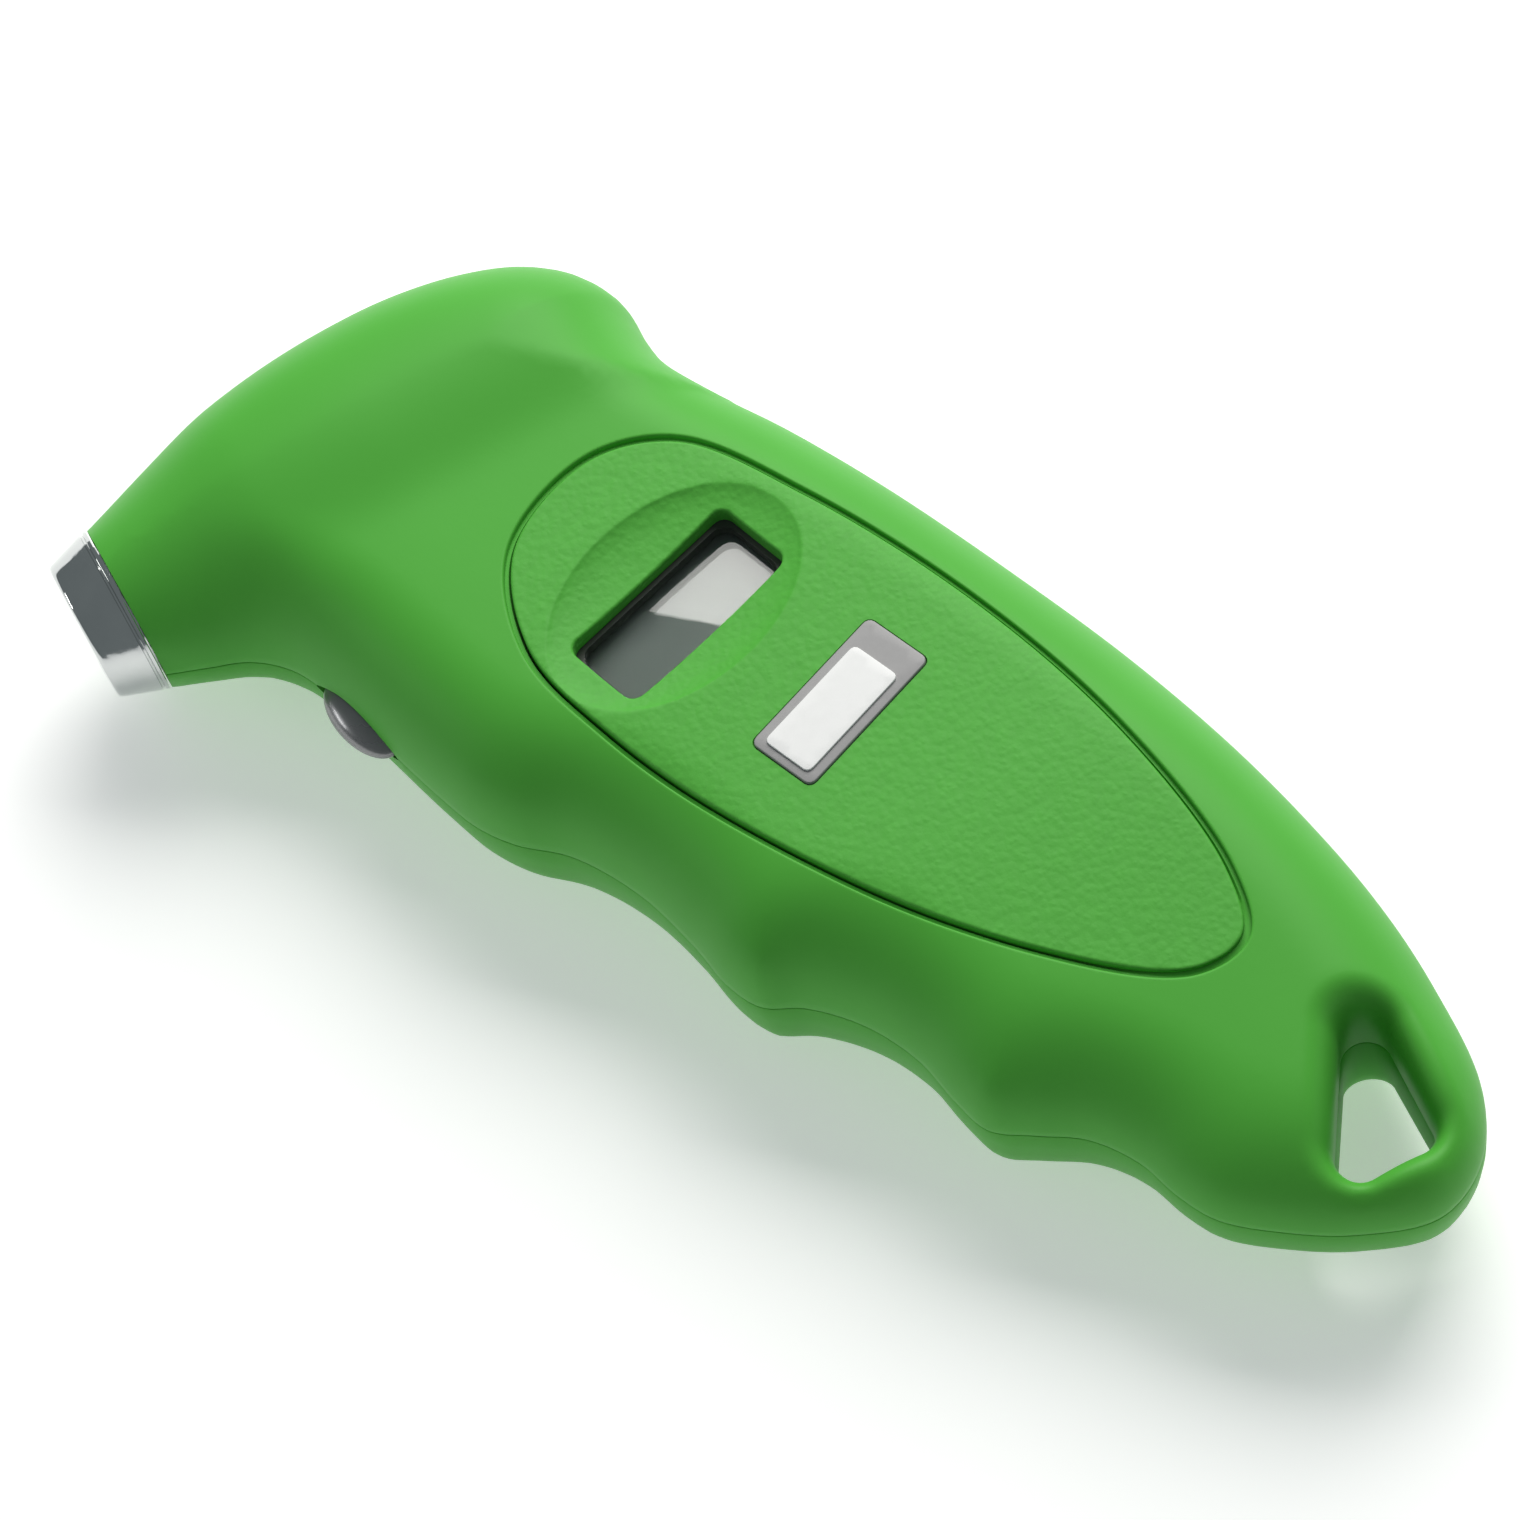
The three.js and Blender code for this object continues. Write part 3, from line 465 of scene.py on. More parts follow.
def sheet_solid(name, loops, inner, top_height, base_height=None, facing=1, flat_under=None,
                under_cap=None):
    """Closed body between a shaped sheet and a second side: a wall's thickness under it, or a flat base."""
    xy, faces = triangles_between(loops, inner)
    top = top_height(xy)
    start = 0
    for loop in loops:
        here = slice(start, start + len(loop.points))
        if loop.top is not None:
            top[here] = np.where(loop.plain, top[here], loop.top)
        start = here.stop
    count = len(xy)
    upper = np.column_stack([xy, top])
    if flat_under is None:
        under = wall_under(xy, faces, top, loops, top_height, base_height)
    else:
        under = np.column_stack([xy, flat_under(xy)])
    if under_cap is not None:
        under[:, 2] = under_cap(xy, under[:, 2])
    points = [upper, under]
    made = 2 * count
    polygons = [tuple(face) for face in faces] + [tuple(face[::-1] + count) for face in faces]
    start = 0
    for loop in loops:
        n = len(loop.points)
        if loop.under_inset:
            moved = loop.points + loop.left * loop.under_inset
            shifted = ~loop.plain
            under[start:start + n, :2][shifted] = moved[shifted]
            under[start:start + n, 2][shifted] = np.maximum(top[start:start + n][shifted], SEAM_CORNER)
        chains = [[start + i] for i in range(n)]
        for inset, height in loop.steps:
            ring = np.column_stack([loop.points + loop.left * inset, height(top[start:start + n])])
            points.append(ring)
            for i in range(n):
                if not loop.plain[i]:
                    chains[i].append(made + i)
            made += n
        for i in range(n):
            chains[i].append(count + start + i)
        for i in range(n):
            here, there = chains[i], chains[(i + 1) % n]
            if len(here) == len(there):
                for k in range(len(here) - 1):
                    polygons.append((there[k], here[k], here[k + 1], there[k + 1]))
            else:
                polygons.append((*here, *there[::-1]))
        start += n
    points = np.vstack(points)
    if facing < 0:
        points[:, 2] *= -1
        polygons = [face[::-1] for face in polygons]
    used = sorted({i for face in polygons for i in face})
    renamed = {old: new for new, old in enumerate(used)}
    return mesh_piece(name, points[used], [[renamed[i] for i in face] for face in polygons])


def round_distances(radius, count):
    """Distances from an edge at even turns round its quarter circle."""
    return [radius * (1 - math.cos(math.radians(90) * (k + 1) / count)) for k in range(count)]


SEAM_STEPS = [(0.05, level(0.08)), (0.14, level(SEAM_Z)), (WALL, level(SEAM_Z))]


def case_loop(half, ring_distances):
    """The rim and the nozzle's end as one boundary; the wall at the end goes straight down."""
    side = evenly(rim, 0.8)
    left = leftwards(side, False)
    near = [d for d in ring_distances if d < NOZZLE_RADIUS - 0.2]
    top_y, low_y = side[-1, 1], side[0, 1]
    end_y = [top_y - d for d in near] + [(top_y + low_y) / 2] + [low_y + d for d in reversed(near)]
    end = np.array([(NOZZLE_X, y) for y in end_y])
    left[0] = (0, 1)
    left[-1] = (0, -1)
    loop = Loop(np.vstack([side, end]), SEAM_STEPS, np.vstack([left, np.zeros_like(end)]),
                np.concatenate([np.zeros(len(side), bool), np.ones(len(end), bool)]), WALL, SEAM_CORNER)
    return loop, side


def outside_eye(edge, side):
    """The rim's rings give way to the eye's, apart from the rim's share of the bar between the two."""
    to_rim, to_eye = distance_to(edge, side, False), distance_to(edge, eye_outline, True)
    return edge[(to_rim < RIM_SHARE * (to_rim + to_eye)) | (to_eye > EYE_REACH)]


def rings_round_eye(eye, side):
    """Rings of the eye's rounded mouth, on the eye's share of the bar between it and the rim."""
    found = rings(eye.points, round_distances(EYE_ROUND, 12) + [4.1, 5])
    to_rim, to_eye = distance_to(found, side, False), distance_to(found, eye_outline, True)
    return found[to_rim > RIM_SHARE * (to_rim + to_eye) + 0.15]


def front_height(xy):
    height = case_height(xy, FRONT)
    to_panel = signed_distance(xy, panel_outline)
    to_eye = distance_to(xy, eye_outline, True)
    lip = height - lip_drop(-to_panel, LIP)
    height = np.where(to_panel < 0.005, lip, height - GROOVE_DEPTH)
    height = np.where(to_panel > PANEL_GROOVE - 0.05, BED_TOP_Z, height)
    return height - lip_drop(to_eye, EYE_ROUND, EYE_DROP)


def bed_cap(xy, under):
    """The bed under the panel is as thick as the wall, and flat below."""
    return np.where(signed_distance(xy, panel_outline) > -0.5, BED_TOP_Z - WALL, under)


def window_shape(margin):
    """Outline of the display's opening, wider by a margin on every side."""
    return turned_about(
        rounded_rectangle(WINDOW["length"] + 2 * margin, WINDOW["width"] + 2 * margin,
                          WINDOW["corner"] + margin),
        (DISPLAY["x"], DISPLAY["y"]), DISPLAY["angle"])


window_outline = window_shape(0)


def eye_loop():
    steps = [(0, level(SEAM_CORNER)), *SEAM_STEPS]
    return Loop(eye_outline[::-1], steps, under_inset=WALL)


def make_front_shell():
    edge_rings = round_distances(FRONT["round"], 14)
    outer, side = case_loop(FRONT, edge_rings)
    eye = eye_loop()
    bed_window = Loop(window_shape(WINDOW["collar"] + 0.3)[::-1])
    groove = rings(panel_outline, [
        -0.75, -0.4, -0.3, -0.2, -0.12, -0.05, 0, 0.03, 0.42, 0.8, PANEL_GROOVE - 0.02, 1.5])
    eye_rings = rings_round_eye(eye, side)
    edge = rings(side, edge_rings, closed=False)
    edge = clear_of(edge, panel_outline, 1.0)
    edge = outside_eye(edge, side)
    field = grid((-48, -80), (45, 70), 1.1)
    field = clear_of(field, side, FRONT["round"] + 0.6, False)
    field = clear_of(field, panel_outline, 1.7)
    field = clear_of(field, eye_outline, EYE_REACH + 0.4)
    inner = np.vstack([groove, eye_rings, edge, field])
    return sheet_solid("front_case", [outer, eye, bed_window], inner, front_height,
                       lambda xy: case_height(xy, FRONT), under_cap=bed_cap)


door_seat = circle(DOOR["x"], DOOR["y"], DOOR["radius"] + DOOR["gap"], 120)
wells = [circle(x, y, SCREW_WELL, 36) for x, y in CASE_SCREWS]


def rear_height(xy):
    height = case_height(xy, REAR) - lip_drop(distance_to(xy, eye_outline, True), EYE_ROUND, EYE_DROP)
    for outline, radius in [(door_seat, 0.35), *[(well, 0.3) for well in wells]]:
        height = height - lip_drop(distance_to(xy, outline, True), radius)
    return height


def make_rear_shell():
    edge_rings = round_distances(REAR["round"], 12)
    outer, side = case_loop(REAR, edge_rings)
    eye = eye_loop()
    seat_step = DOOR["hole"] - DOOR["radius"] - DOOR["gap"]
    seat = Loop(door_seat[::-1], [
        (0, level(DOOR["seat_z"])), (seat_step, level(DOOR["seat_z"])), (seat_step, level(DOOR["hole_z"]))])
    well_step = SCREW_HOLE - SCREW_WELL
    screw_loops = [Loop(well[::-1], [
        (0, level(SCREW_SEAT_Z)), (well_step, level(SCREW_SEAT_Z)), (well_step, level(SEAM_Z)),
        (BOSS_WALL, level(SEAM_Z))], under_inset=1.5) for well in wells]
    features = [door_seat, *wells]
    lips = np.vstack([rings(f[::-1], [0.04, 0.1, 0.2, 0.35, 0.8]) for f in features])
    lips = clear_of(lips, side, 0.5, False)
    eye_rings = rings_round_eye(eye, side)
    edge = outside_eye(rings(side, edge_rings, closed=False), side)
    field = clear_of(grid((-48, -80), (45, 70), 1.3), side, REAR["round"] + 0.7, False)
    rest = np.vstack([edge, clear_of(field, eye_outline, EYE_REACH + 0.4)])
    for feature in features:
        rest = clear_of(rest, feature, 1.1)
    return sheet_solid("rear_case", [outer, eye, seat, *screw_loops], np.vstack([lips, eye_rings, rest]),
                       rear_height, lambda xy: case_height(xy, REAR), facing=-1)


# ---------------------------------------------------------------- panel, window and badge

def dish_height(xy):
    back = turned_about(xy - (DISH["x"], DISH["y"]), (0, 0), -DISPLAY["angle"])
    off = (back[:, 0] / DISH["half_length"]) ** 2 + (back[:, 1] / DISH["half_width"]) ** 2
    return np.where(off < 1, DISH["top"] - DISH["depth"] * np.sqrt(np.maximum(0, 1 - off)), 99)


def dish_outline():
    """Where the dish runs out at the panel's surface, found along rays from its middle."""
    rays = 120
    low, high = np.full(rays, 0.5), np.full(rays, 0.9999)
    turn = np.arange(rays) * 2 * math.pi / rays
    for _ in range(30):
        share = (low + high) / 2
        ray = np.column_stack([
            share * DISH["half_length"] * np.cos(turn), share * DISH["half_width"] * np.sin(turn)])
        at = turned_about(ray, (DISH["x"], DISH["y"]), DISPLAY["angle"])
        below = dish_height(at) < case_height(at, FRONT)
        low, high = np.where(below, share, low), np.where(below, high, share)
    return evenly(at, 0.5, closed=True)


def on_badge(points):
    """Points along and across the badge, moved to its place on the panel."""
    return turned_about(points, (BADGE["x"], BADGE["y"]), BADGE["angle"])


badge_outline = on_badge(rounded_rectangle(BADGE["length"] + 0.2, BADGE["width"] + 0.2, BADGE["corner"]))
BADGE_SEAT_Z = 12.1


def panel_height(xy):
    surface = case_height(xy, FRONT)
    inward = np.maximum(0, signed_distance(xy, panel_outline) - PANEL_GROOVE)
    surface = surface - lip_drop(inward, LIP)
    gap = surface - dish_height(xy)
    soften = 0.1
    window_lip = 0.3
    surface = surface - (gap + np.sqrt(gap * gap + soften ** 2)) / 2
    surface = surface - lip_drop(np.maximum(0, -signed_distance(xy, window_outline)), window_lip)
    return np.where(signed_distance(xy, badge_outline) > -0.001, BADGE_SEAT_Z, surface)


def panel_under(xy):
    margin = WINDOW["collar"]
    return np.where(signed_distance(xy, window_outline) > -margin, WINDOW["low"], PANEL_BASE_Z)


def make_face_panel():
    edge = evenly(rings(panel_outline, [PANEL_GROOVE]), 0.5, closed=True)
    outer = Loop(edge, [(0, level(PANEL_BASE_Z + 0.3))])
    window = Loop(window_outline[::-1], [(0, level(WINDOW["low"] + 0.1))])
    dish = dish_outline()
    inner = np.vstack([
        rings(edge, [0.03, 0.1, 0.2, 0.3, 0.42, 0.8]),
        clear_of(rings(window.points, [0.03, 0.08, 0.15, 0.24, 0.32, 0.7, 1.18, 1.22]), edge, 0.3),
        rings(dish, [-0.5, -0.25, -0.1, 0, 0.1, 0.25, 0.5]),
        rings(badge_outline, [-0.4, -0.03, 0.03, 0.4]),
    ])
    field = grid((-18, -52), (34, 36), 0.8)
    for feature, gap in [(edge, 1.2), (window.points, 1.5), (dish, 0.9), (badge_outline, 0.8)]:
        field = clear_of(field, feature, gap)
    return sheet_solid("grained_panel", [outer, window], np.vstack([inner, field]), panel_height,
                       flat_under=panel_under)


def plate_piece(name, outline, low, high, lip):
    """Flat plate with a rounded upper edge."""
    loop = Loop(outline)
    inner = np.vstack([rings(outline, [lip * share for share in (0.1, 0.3, 0.6, 1)]),
                       clear_of(grid(outline.min(0), outline.max(0), 1.0), outline, lip + 0.5)])

    def top(xy):
        return high - lip_drop(distance_to(xy, outline, True), lip)
    return sheet_solid(name, [loop], inner, top, flat_under=level(low))


# ---------------------------------------------------------------- turned pieces

def turned_piece(name, section, sides=128):
    """Solid turned about the nozzle's axis from (along, radius) pairs; a radius of 0 closes an end."""
    points, faces, index = [], [], []
    for along, radius in section:
        if radius == 0:
            index.append([len(points)] * sides)
            points.append((along, AXIS_Y, 0))
        else:
            index.append(list(range(len(points), len(points) + sides)))
            for turn in np.arange(sides) * 2 * math.pi / sides:
                points.append((along, AXIS_Y + radius * math.cos(turn), radius * math.sin(turn)))
    closed = section[0][1] != 0
    spans = len(section) if closed else len(section) - 1
    for k in range(spans):
        here, there = index[k], index[(k + 1) % len(section)]
        for i in range(sides):
            j = (i + 1) % sides
            face = []
            for corner in (here[i], here[j], there[j], there[i]):
                if corner not in face:
                    face.append(corner)
            if len(face) > 2:
                faces.append(face)
    piece = mesh_piece(name, np.array(points, float), faces, smooth_below=30)
    face_outwards(piece.data)
    return piece


def arc(middle, radius, start, end, count=6):
    """(along, radius) points on a round corner of a section; angles in degrees from the along direction."""
    return [(middle[0] + radius * math.cos(math.radians(a)), middle[1] + radius * math.sin(math.radians(a)))
            for a in np.linspace(start, end, count)]


# ---------------------------------------------------------------- button

def along_button(points):
    """Points along the button's travel, its length and its thickness, moved to its place."""
    points = np.array(points)
    flat = turned_about(points[:, :2], (BUTTON["x"], BUTTON["y"]), BUTTON["angle"])
    return np.column_stack([flat, points[:, 2]])


def make_button():
    """Oval dome on a neck, with a flange that holds it inside the case."""
    rows, columns = 20, 72
    points = [(BUTTON["base"] + BUTTON["height"], 0, 0)]
    profile = []
    for k in range(1, rows + 1):
        turn = math.pi / 2 * k / rows
        profile.append((BUTTON["base"] + BUTTON["height"] * math.cos(turn), math.sin(turn)))
    neck_end, flange = BUTTON["neck_end"], BUTTON["flange"]
    profile += [(BUTTON["base"] - 0.5, 1), (neck_end, 1), (neck_end - 0.1, 1.02),
                (neck_end - 0.15, flange), (BUTTON["flange_end"], flange)]
    for along, share in profile:
        for i in range(columns):
            turn = 2 * math.pi * i / columns
            y = BUTTON["half_length"] * share * math.cos(turn)
            z = BUTTON["half_width"] * share * math.sin(turn)
            points.append((along, y, z))
    faces = [(0, 1 + i, 1 + (i + 1) % columns) for i in range(columns)]
    for k in range(len(profile) - 1):
        a, b = 1 + k * columns, 1 + (k + 1) * columns
        for i in range(columns):
            j = (i + 1) % columns
            faces.append((a + i, b + i, b + j, a + j))
    last = 1 + (len(profile) - 1) * columns
    faces.append([last + i for i in reversed(range(columns))])
    return mesh_piece("finger_button", along_button(points), faces)


def slot_cutter():
    """Prism of the button's slot: a lens outline, pointed at both ends, along the button's travel."""
    half_length, half_width = SLOT["half_length"], SLOT["half_width"]
    radius = (half_length ** 2 + half_width ** 2) / (2 * half_width)
    y = half_length * np.cos(np.linspace(0, math.pi, 25))
    z = np.sqrt(radius ** 2 - y ** 2) - (radius - half_width) + SLOT["gap"]
    outline = list(zip(y, z)) + list(zip(y[::-1], -z[::-1]))
    count = len(outline)
    points = [(x, a, b) for x in (SLOT["from"], SLOT["to"]) for a, b in outline]
    faces = [list(range(count))[::-1], list(range(count, 2 * count))]
    faces += [(i, (i + 1) % count, count + (i + 1) % count, count + i) for i in range(count)]
    cutter = mesh_piece("slot_cutter", along_button(points), faces)
    face_outwards(cutter.data)
    return cutter


def cut_with(piece, cutter):
    """Takes the cutter's shape out of a piece."""
    modifier = piece.modifiers.new("slot", "BOOLEAN")
    modifier.operation = "DIFFERENCE"
    modifier.solver = "EXACT"
    modifier.object = cutter
    evaluated = piece.evaluated_get(bpy.context.evaluated_depsgraph_get())
    mesh = bpy.data.meshes.new_from_object(evaluated)
    piece.modifiers.clear()
    piece.data = mesh
    smooth_faces(mesh)


# ---------------------------------------------------------------- materials

class Wire:
    """One output of a material's nodes. Arithmetic on it adds Math nodes."""

    def __init__(self, finish, socket):
        self.finish = finish
        self.socket = socket

    def math(self, operation, first, second=0.0):
        return self.finish.node("Math", {"operation": operation}, {0: first, 1: second})

    def __add__(self, other):
        return self.math("ADD", self, other)

    def __radd__(self, other):
        return self.math("ADD", other, self)

    def __sub__(self, other):
        return self.math("SUBTRACT", self, other)

    def __rsub__(self, other):
        return self.math("SUBTRACT", other, self)

    def __mul__(self, other):
        return self.math("MULTIPLY", self, other)

    def __rmul__(self, other):
        return self.math("MULTIPLY", other, self)


class Finish:
    """One material, built from nodes on its Principled shader."""

    def __init__(self, name, **constants):
        self.material = bpy.data.materials.new(name)
        self.material.use_nodes = True
        self.tree = self.material.node_tree
        self.shader = self.tree.nodes["Principled BSDF"]
        self.point = self.node("TexCoord", output="Object")
        for socket, value in constants.items():
            self.set(socket.replace("_", " "), value)

    def node(self, kind, settings=None, inputs=None, output=0):
        node = self.tree.nodes.new("ShaderNode" + kind)
        for name, value in (settings or {}).items():
            if name == "stops":
                self.set_stops(node.color_ramp, value)
            else:
                setattr(node, name, value)
        for name, value in (inputs or {}).items():
            self.feed(node.inputs[name], value)
        return Wire(self, node.outputs[output])

    def set_stops(self, ramp, stops):
        while len(ramp.elements) < len(stops):
            ramp.elements.new(0.5)
        for element, (position, colour) in zip(ramp.elements, stops):
            element.position = position
            element.color = colour

    def feed(self, socket, value):
        if isinstance(value, Wire):
            self.tree.links.new(value.socket, socket)
        else:
            socket.default_value = value

    def set(self, socket, value):
        self.feed(self.shader.inputs[socket], value)

    def noise(self, scale, detail, output=0):
        return self.node("TexNoise", None, {
            "Vector": self.point, "Scale": scale, "Detail": detail, "Roughness": 0.5}, output)

    def tint(self, share, dark, light):
        return self.node("ValToRGB", {"stops": [(0.0, dark), (1.0, light)]}, {0: share})

    def bump(self, height, distance):
        self.set("Normal", self.node("Bump", None, {
            "Height": height, "Distance": distance, "Strength": 1.0}))


def colour(r, g, b):
    return (r, g, b, 1.0)


def shade(tint, factor):
    return colour(*(min(1.0, part * factor) for part in tint))


GREEN = (0.088, 0.435, 0.05)


def moulded_green():
    """Satin ABS: faint flow marks in colour and gloss, and the slight orange peel of a moulded face."""
    finish = Finish("satin green plastic", IOR=1.5, Specular_IOR_Level=0.16,
                    Sheen_Weight=0.02, Sheen_Roughness=0.35)
    flow = finish.noise(45, 2)
    grain = finish.noise(900, 2)
    finish.set("Base Color", finish.tint(flow, shade(GREEN, 0.95), shade(GREEN, 1.05)))
    finish.set("Roughness", 0.4 + 0.06 * flow + 0.03 * grain)
    finish.bump(0.7 * grain + 0.3 * finish.noise(2600, 1), 0.00001)
    return finish


def leather_green():
    """Grained panel: shallow rounded cells of uneven size with fine pores between them."""
    finish = Finish("leather-grained green plastic", IOR=1.47, Specular_IOR_Level=0.3)
    wander = finish.node("VectorMath", {"operation": "MULTIPLY_ADD"}, {
        0: finish.noise(700, 2, "Color"), 1: (0.0006, 0.0006, 0.0006), 2: finish.point})
    cells = finish.node("TexVoronoi", {"feature": "SMOOTH_F1"}, {
        "Vector": wander, "Scale": 1250.0, "Smoothness": 0.6})
    broad = finish.noise(500, 3)
    fine = finish.noise(3200, 2)
    height = 0.55 * (1 - cells) + 0.35 * broad + 0.12 * fine
    finish.set("Base Color", finish.tint(broad, shade(GREEN, 0.93), shade(GREEN, 1.07)))
    finish.set("Roughness", 0.5 + 0.12 * fine)
    finish.bump(height, 0.0001)
    return finish


def polished_chrome():
    finish = Finish("polished chrome", Metallic=1.0)
    haze = finish.noise(260, 3)
    wipe = finish.noise(380, 2)
    finish.set("Base Color", finish.tint(haze, colour(0.54, 0.56, 0.56), colour(0.64, 0.66, 0.65)))
    finish.set("Roughness", 0.05 + 0.07 * haze)
    finish.bump(wipe, 0.00007)
    return finish


def turned_metal(name, dark, light, rough):
    """Metal off a lathe or a press: fine uneven lines and slight tarnish."""
    finish = Finish(name, Metallic=1.0)
    lines = finish.noise(4000, 2)
    tarnish = finish.noise(350, 4)
    finish.set("Base Color", finish.tint(tarnish, dark, light))
    finish.set("Roughness", rough + 0.12 * lines)
    finish.bump(lines, 0.00001)
    return finish


def moulded_dark(name, tint, rough, grain_height):
    """Dark plastic or rubber with its mould grain."""
    finish = Finish(name, IOR=1.5)
    cloud = finish.noise(180, 3)
    grain = finish.noise(2400, 2)
    finish.set("Base Color", finish.tint(cloud, shade(tint, 0.85), shade(tint, 1.2)))
    finish.set("Roughness", rough + 0.08 * grain)
    finish.bump(grain, grain_height)
    return finish


def button_lacquer():
    finish = Finish("gunmetal lacquer", Metallic=0.6, Coat_Weight=0.5, Coat_Roughness=0.1)
    cloud = finish.noise(300, 2)
    finish.set("Base Color", finish.tint(cloud, colour(0.20, 0.20, 0.205), colour(0.25, 0.25, 0.255)))
    finish.set("Roughness", 0.24 + 0.08 * cloud)
    finish.bump(finish.noise(1500, 2), 0.000008)
    return finish


def blank_display():
    """Switched-off reflective display: grey-green, with faint rubbing marks."""
    finish = Finish("grey display", IOR=1.5, Specular_IOR_Level=0.1)
    rub = finish.noise(90, 2)
    lines = finish.noise(1800, 1)
    finish.set("Base Color", finish.tint(rub, colour(0.285, 0.33, 0.30), colour(0.33, 0.37, 0.345)))
    finish.set("Roughness", 0.35 + 0.05 * lines)
    finish.bump(lines, 0.000004)
    return finish


def clear_acrylic():
    finish = Finish("clear acrylic", IOR=1.49, Transmission_Weight=1.0)
    smear = finish.noise(120, 2)
    finish.set("Base Color", colour(0.96, 0.98, 0.97))
    finish.set("Roughness", 0.006 * smear)
    finish.bump(smear, 0.000001)
    return finish


def printed(name, dark, light, rough):
    """Printed film or lacquer: nearly even, with a slight mottle."""
    finish = Finish(name, IOR=1.48)
    mottle = finish.noise(800, 3)
    finish.set("Base Color", finish.tint(mottle, dark, light))
    finish.set("Roughness", rough + 0.08 * mottle)
    finish.bump(mottle, 0.000006)
    return finish


def circuit_lacquer():
    finish = Finish("green solder mask", IOR=1.5)
    mottle = finish.noise(400, 3)
    weave = finish.node("TexVoronoi", None, {"Vector": finish.point, "Scale": 700.0})
    finish.set("Base Color", finish.tint(mottle, colour(0.012, 0.10, 0.035), colour(0.02, 0.15, 0.05)))
    finish.set("Roughness", 0.3 + 0.1 * mottle)
    finish.bump(weave, 0.00002)
    return finish


FINISHES = {
    "case_green": moulded_green(),
    "panel_green": leather_green(),
    "chrome": polished_chrome(),
    "brass": turned_metal("turned brass", colour(0.42, 0.27, 0.09), colour(0.62, 0.44, 0.17), 0.28),
    "steel": turned_metal("bright steel", colour(0.42, 0.43, 0.44), colour(0.62, 0.63, 0.64), 0.26),
    "dark_plastic": button_lacquer(),
    "black_plastic": moulded_dark("black plastic", (0.05, 0.052, 0.047), 0.4, 0.00002),
    "black_rubber": moulded_dark("black rubber", (0.02, 0.02, 0.02), 0.65, 0.00003),
    "silicone": moulded_dark("milky silicone", (0.62, 0.62, 0.58), 0.5, 0.00001),
    "lcd_glass": blank_display(),
    "clear_window": clear_acrylic(),
    "label_white": printed("white film", colour(0.86, 0.86, 0.86), colour(0.92, 0.92, 0.92), 0.35),
    "badge_grey": printed("grey lacquer", colour(0.30, 0.295, 0.30), colour(0.35, 0.345, 0.35), 0.35),
    "board": circuit_lacquer(),
}
node_slots = {part["node"]: part["material_slot"] for part in frame["record"]["subparts"]}


def dress(piece, slot):
    piece.data.materials.clear()
    piece.data.materials.append(FINISHES[slot].material)


def stand_for(piece, node):
    """The piece takes a CAD node's place, on the same body and with the same finish."""
    body = next(name for name, nodes in frame["record"]["behaviour"]["bodies"].items() if node in nodes)
    dress(piece, node_slots[node])
    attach(piece, body)
    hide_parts(node)


for node, piece in frame["nodes"].items():
    dress(piece, node_slots[node])

# ---------------------------------------------------------------- the pieces

front_case = make_front_shell()
rear_case = make_rear_shell()
cutter = slot_cutter()
for shell in (front_case, rear_case):
    cut_with(shell, cutter)
bpy.data.objects.remove(cutter)
stand_for(front_case, "front_shell")
stand_for(rear_case, "rear_shell")
stand_for(make_face_panel(), "face_panel")

plate_shape = on_badge(rounded_rectangle(BADGE["length"], BADGE["width"], BADGE["corner"]))
stand_for(plate_piece("badge_back", plate_shape, 12.2, 12.8, 0.15), "badge_plate")
label_shape = on_badge(
    rounded_rectangle(LABEL["length"], LABEL["width"], LABEL["corner"]) + (LABEL["shift"], 0))
stand_for(plate_piece("badge_field", label_shape, 12.85, 13.05, 0.08), "badge_label")

collar = turned_piece("chrome_collar", [
    *arc((TIP_X + 0.55, 5.15), 0.55, 180, 270), (-48.5, 4.6), (-48.5, 5.9), (-41.5, 5.9), (-41.5, 7.2),
    (-47.7, 7.2), (-47.7, 9.25), (-47.8, 9.32), (-48.1, 9.24), (-48.22, 9.02), (-48.4, 9.02), (-48.5, 9.11),
    *arc((TIP_X + 0.75, 7.15), 0.65, 105, 180)])
stand_for(collar, "chuck_collar")
seal = turned_piece("valve_seal_ring", [
    (-48.2, 1.9), (-48.2, 4.2), (-48.0, 4.4), (-48.0, 5.4), (-47.8, 5.6), (-44.8, 5.6), (-44.8, 1.9)], 64)
stand_for(seal, "valve_seal")
pin = turned_piece("valve_depressor", [
    (-49.5, 0), (-49.45, 0.35), (-49.2, 0.62), (-48.9, 0.75), (-44.1, 0.9), (-44.1, 2.2), (-42.8, 2.2),
    (-42.8, 0.9), (-36.5, 0.9), (-36.5, 0)], 32)
stand_for(pin, "depressor_pin")
stand_for(make_button(), "push_button")

# ---------------------------------------------------------------- floor, lights and camera

low, high = cad_box
middle = (low + high) / 2

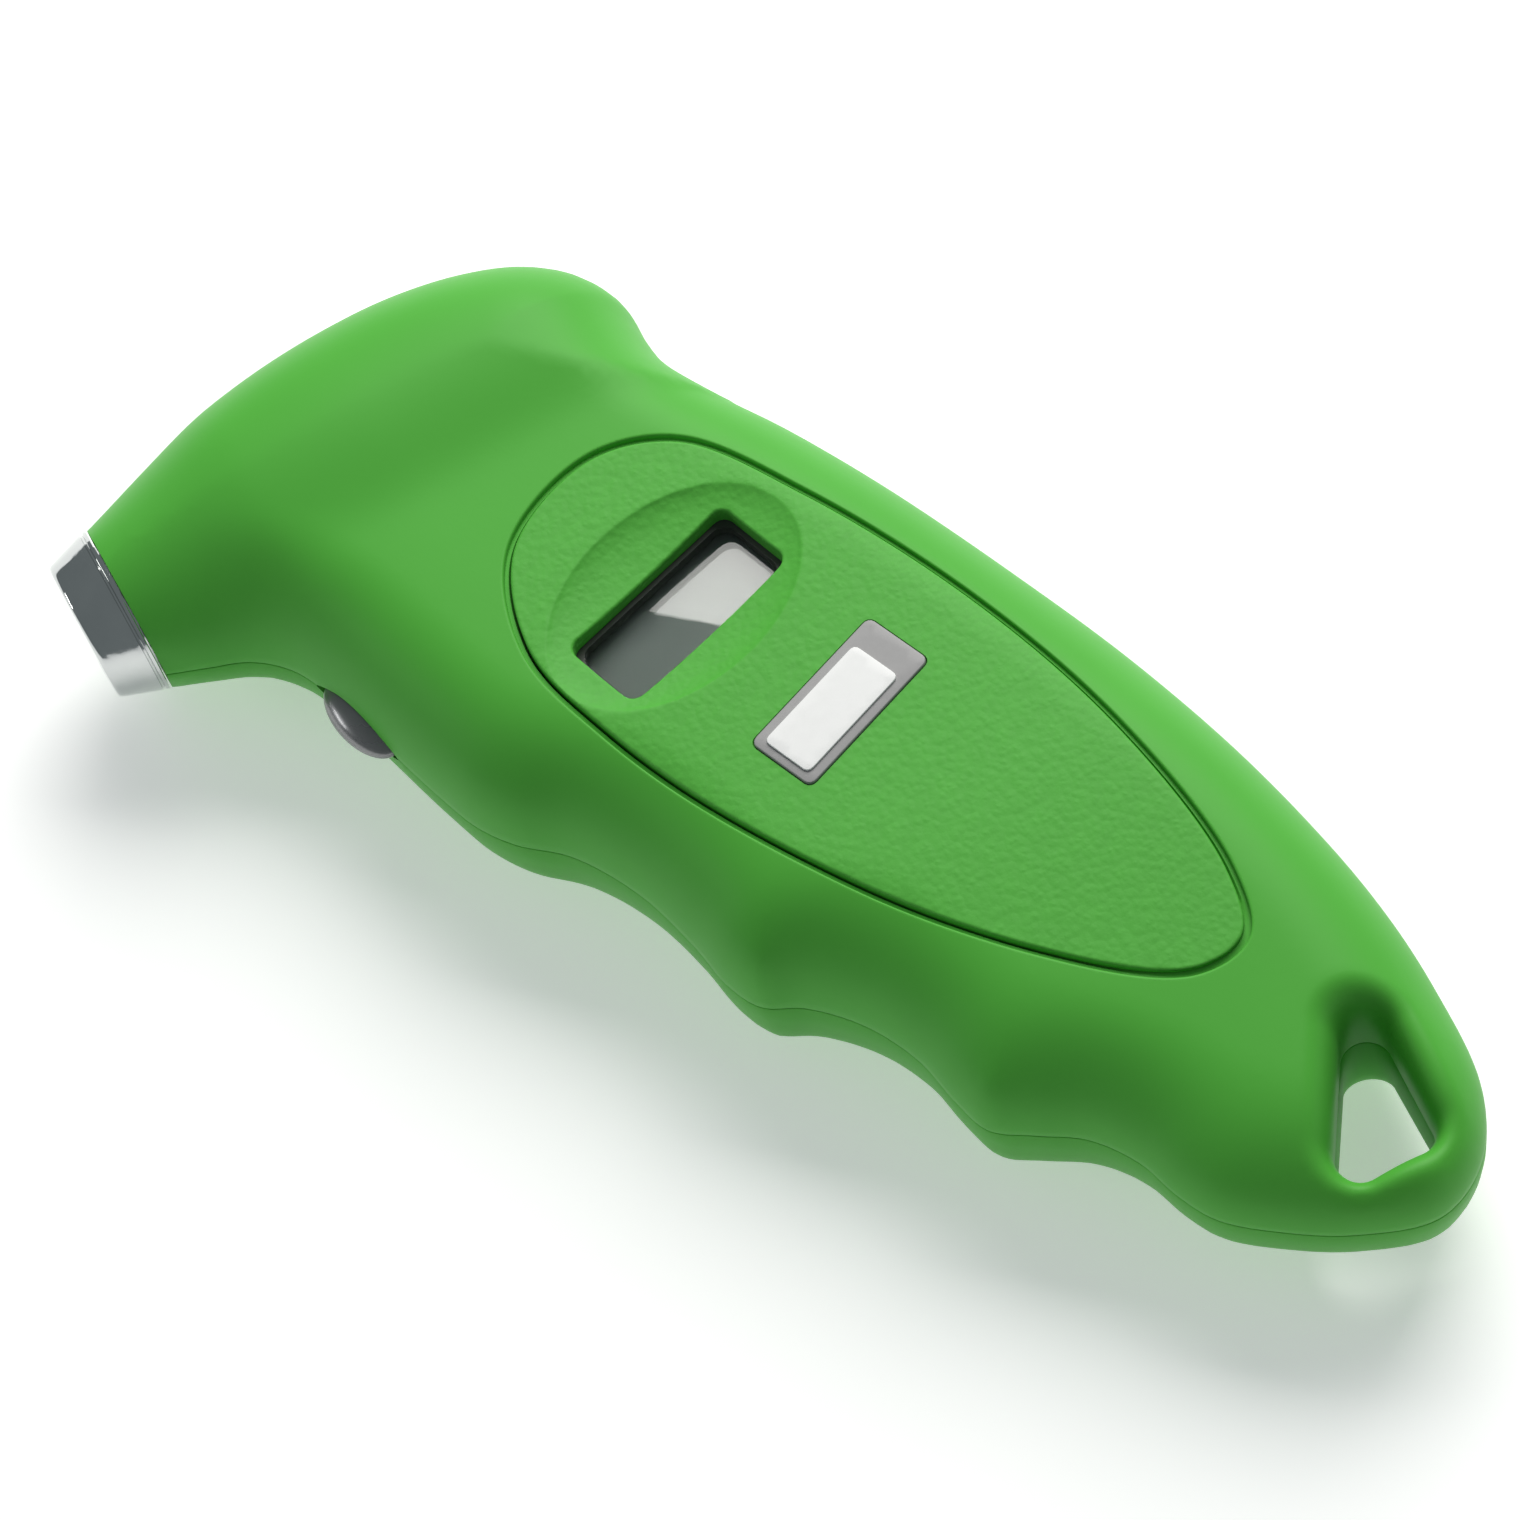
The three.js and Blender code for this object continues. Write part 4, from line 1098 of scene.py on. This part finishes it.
FLOOR_REACH = 6.0
floor_mesh = bpy.data.meshes.new("studio_floor")
floor_mesh.from_pydata([(x, y, 0) for x, y in (
    (-FLOOR_REACH, -FLOOR_REACH), (FLOOR_REACH, -FLOOR_REACH), (FLOOR_REACH, FLOOR_REACH),
    (-FLOOR_REACH, FLOOR_REACH))], [], [(0, 1, 2, 3)])
floor = bpy.data.objects.new("studio_floor", floor_mesh)
bpy.context.scene.collection.objects.link(floor)
paper = Finish("pale paper", Roughness=0.9, Emission_Strength=0.35)
paper.set("Emission Color", colour(1, 1, 1))
paper.set("Base Color", paper.tint(paper.noise(3, 2), colour(0.93, 0.93, 0.93), colour(0.95, 0.95, 0.95)))
floor.data.materials.append(paper.material)

world = bpy.data.worlds.new("studio")
world.use_nodes = True
sky = world.node_tree.nodes["Background"].inputs
sky["Color"].default_value = (0.86, 0.97, 1, 1)
sky["Strength"].default_value = 0.2
bpy.context.scene.world = world
bpy.context.scene.view_settings.view_transform = "Standard"


def softbox(name, place_at, across, upwards, size, radiance, tint=(1, 1, 1)):
    """Rectangular area light that faces the display, with its sides along two given directions."""
    light = bpy.data.lights.new(name, "AREA")
    light.shape = "RECTANGLE"
    light.size, light.size_y = size
    light.energy = radiance * math.pi * size[0] * size[1]
    light.color = tint
    lamp = bpy.data.objects.new(name, light)
    facing = across.cross(upwards)
    if facing.dot(place_at - window_middle) < 0:
        across, facing = -across, -facing
    turn = Matrix((across, upwards, facing)).transposed()
    lamp.matrix_world = Matrix.Translation(place_at) @ turn.to_4x4()
    bpy.context.scene.collection.objects.link(lamp)


camera_data = bpy.data.cameras.new("camera")
camera_data.sensor_width = 36
camera_data.lens = 4800 / 1520 * 36
camera_data.clip_end = 50
camera = bpy.data.objects.new("camera", camera_data)
right, up, back = (0.8713, -0.4672, -0.1502), (0.4783, 0.7401, 0.4727), (-0.1097, -0.4837, 0.8683)
turn = Matrix((right, up, back)).transposed()
camera.matrix_world = Matrix.Translation(Vector(place((-52.66, -232.18, 416.78)))) @ turn.to_4x4()
bpy.context.scene.collection.objects.link(camera)
bpy.context.scene.camera = camera

# The key light's lower edge lies where the window mirrors it, so the window shows that edge.
EDGE_SLOPE = -0.194
KEY = {"distance": 0.9, "aside": 0.3, "size": (0.9, 0.8), "radiance": 6.1, "tint": (1, 0.985, 0.95)}
window_middle = Vector(place((-0.49, 14.34, WINDOW_TOP_Z)))
mirrored_camera = camera.matrix_world.translation.copy()
mirrored_camera.z = 2 * window_middle.z - mirrored_camera.z
away = (window_middle - mirrored_camera).normalized()
key_across = (Vector(right) + EDGE_SLOPE * Vector(up)) * Vector((1, 1, -1))
key_across = (key_across - key_across.dot(away) * away).normalized()
key_up = key_across.cross(away)
if key_up.z > 0:
    key_up.negate()
key_middle = KEY["distance"] * away + KEY["aside"] * key_across + KEY["size"][1] / 2 * key_up
SIDE = {"from": (-0.738, 0.432, 0.279), "size": (0.3, 0.12), "radiance": 7}
softbox("side", middle + Vector(SIDE["from"]), Vector((0.505, 0.863, 0)), Vector((0.268, -0.157, 0.95)),
        SIDE["size"], SIDE["radiance"])
softbox("key", window_middle + key_middle, key_across, key_up, KEY["size"], KEY["radiance"], KEY["tint"])
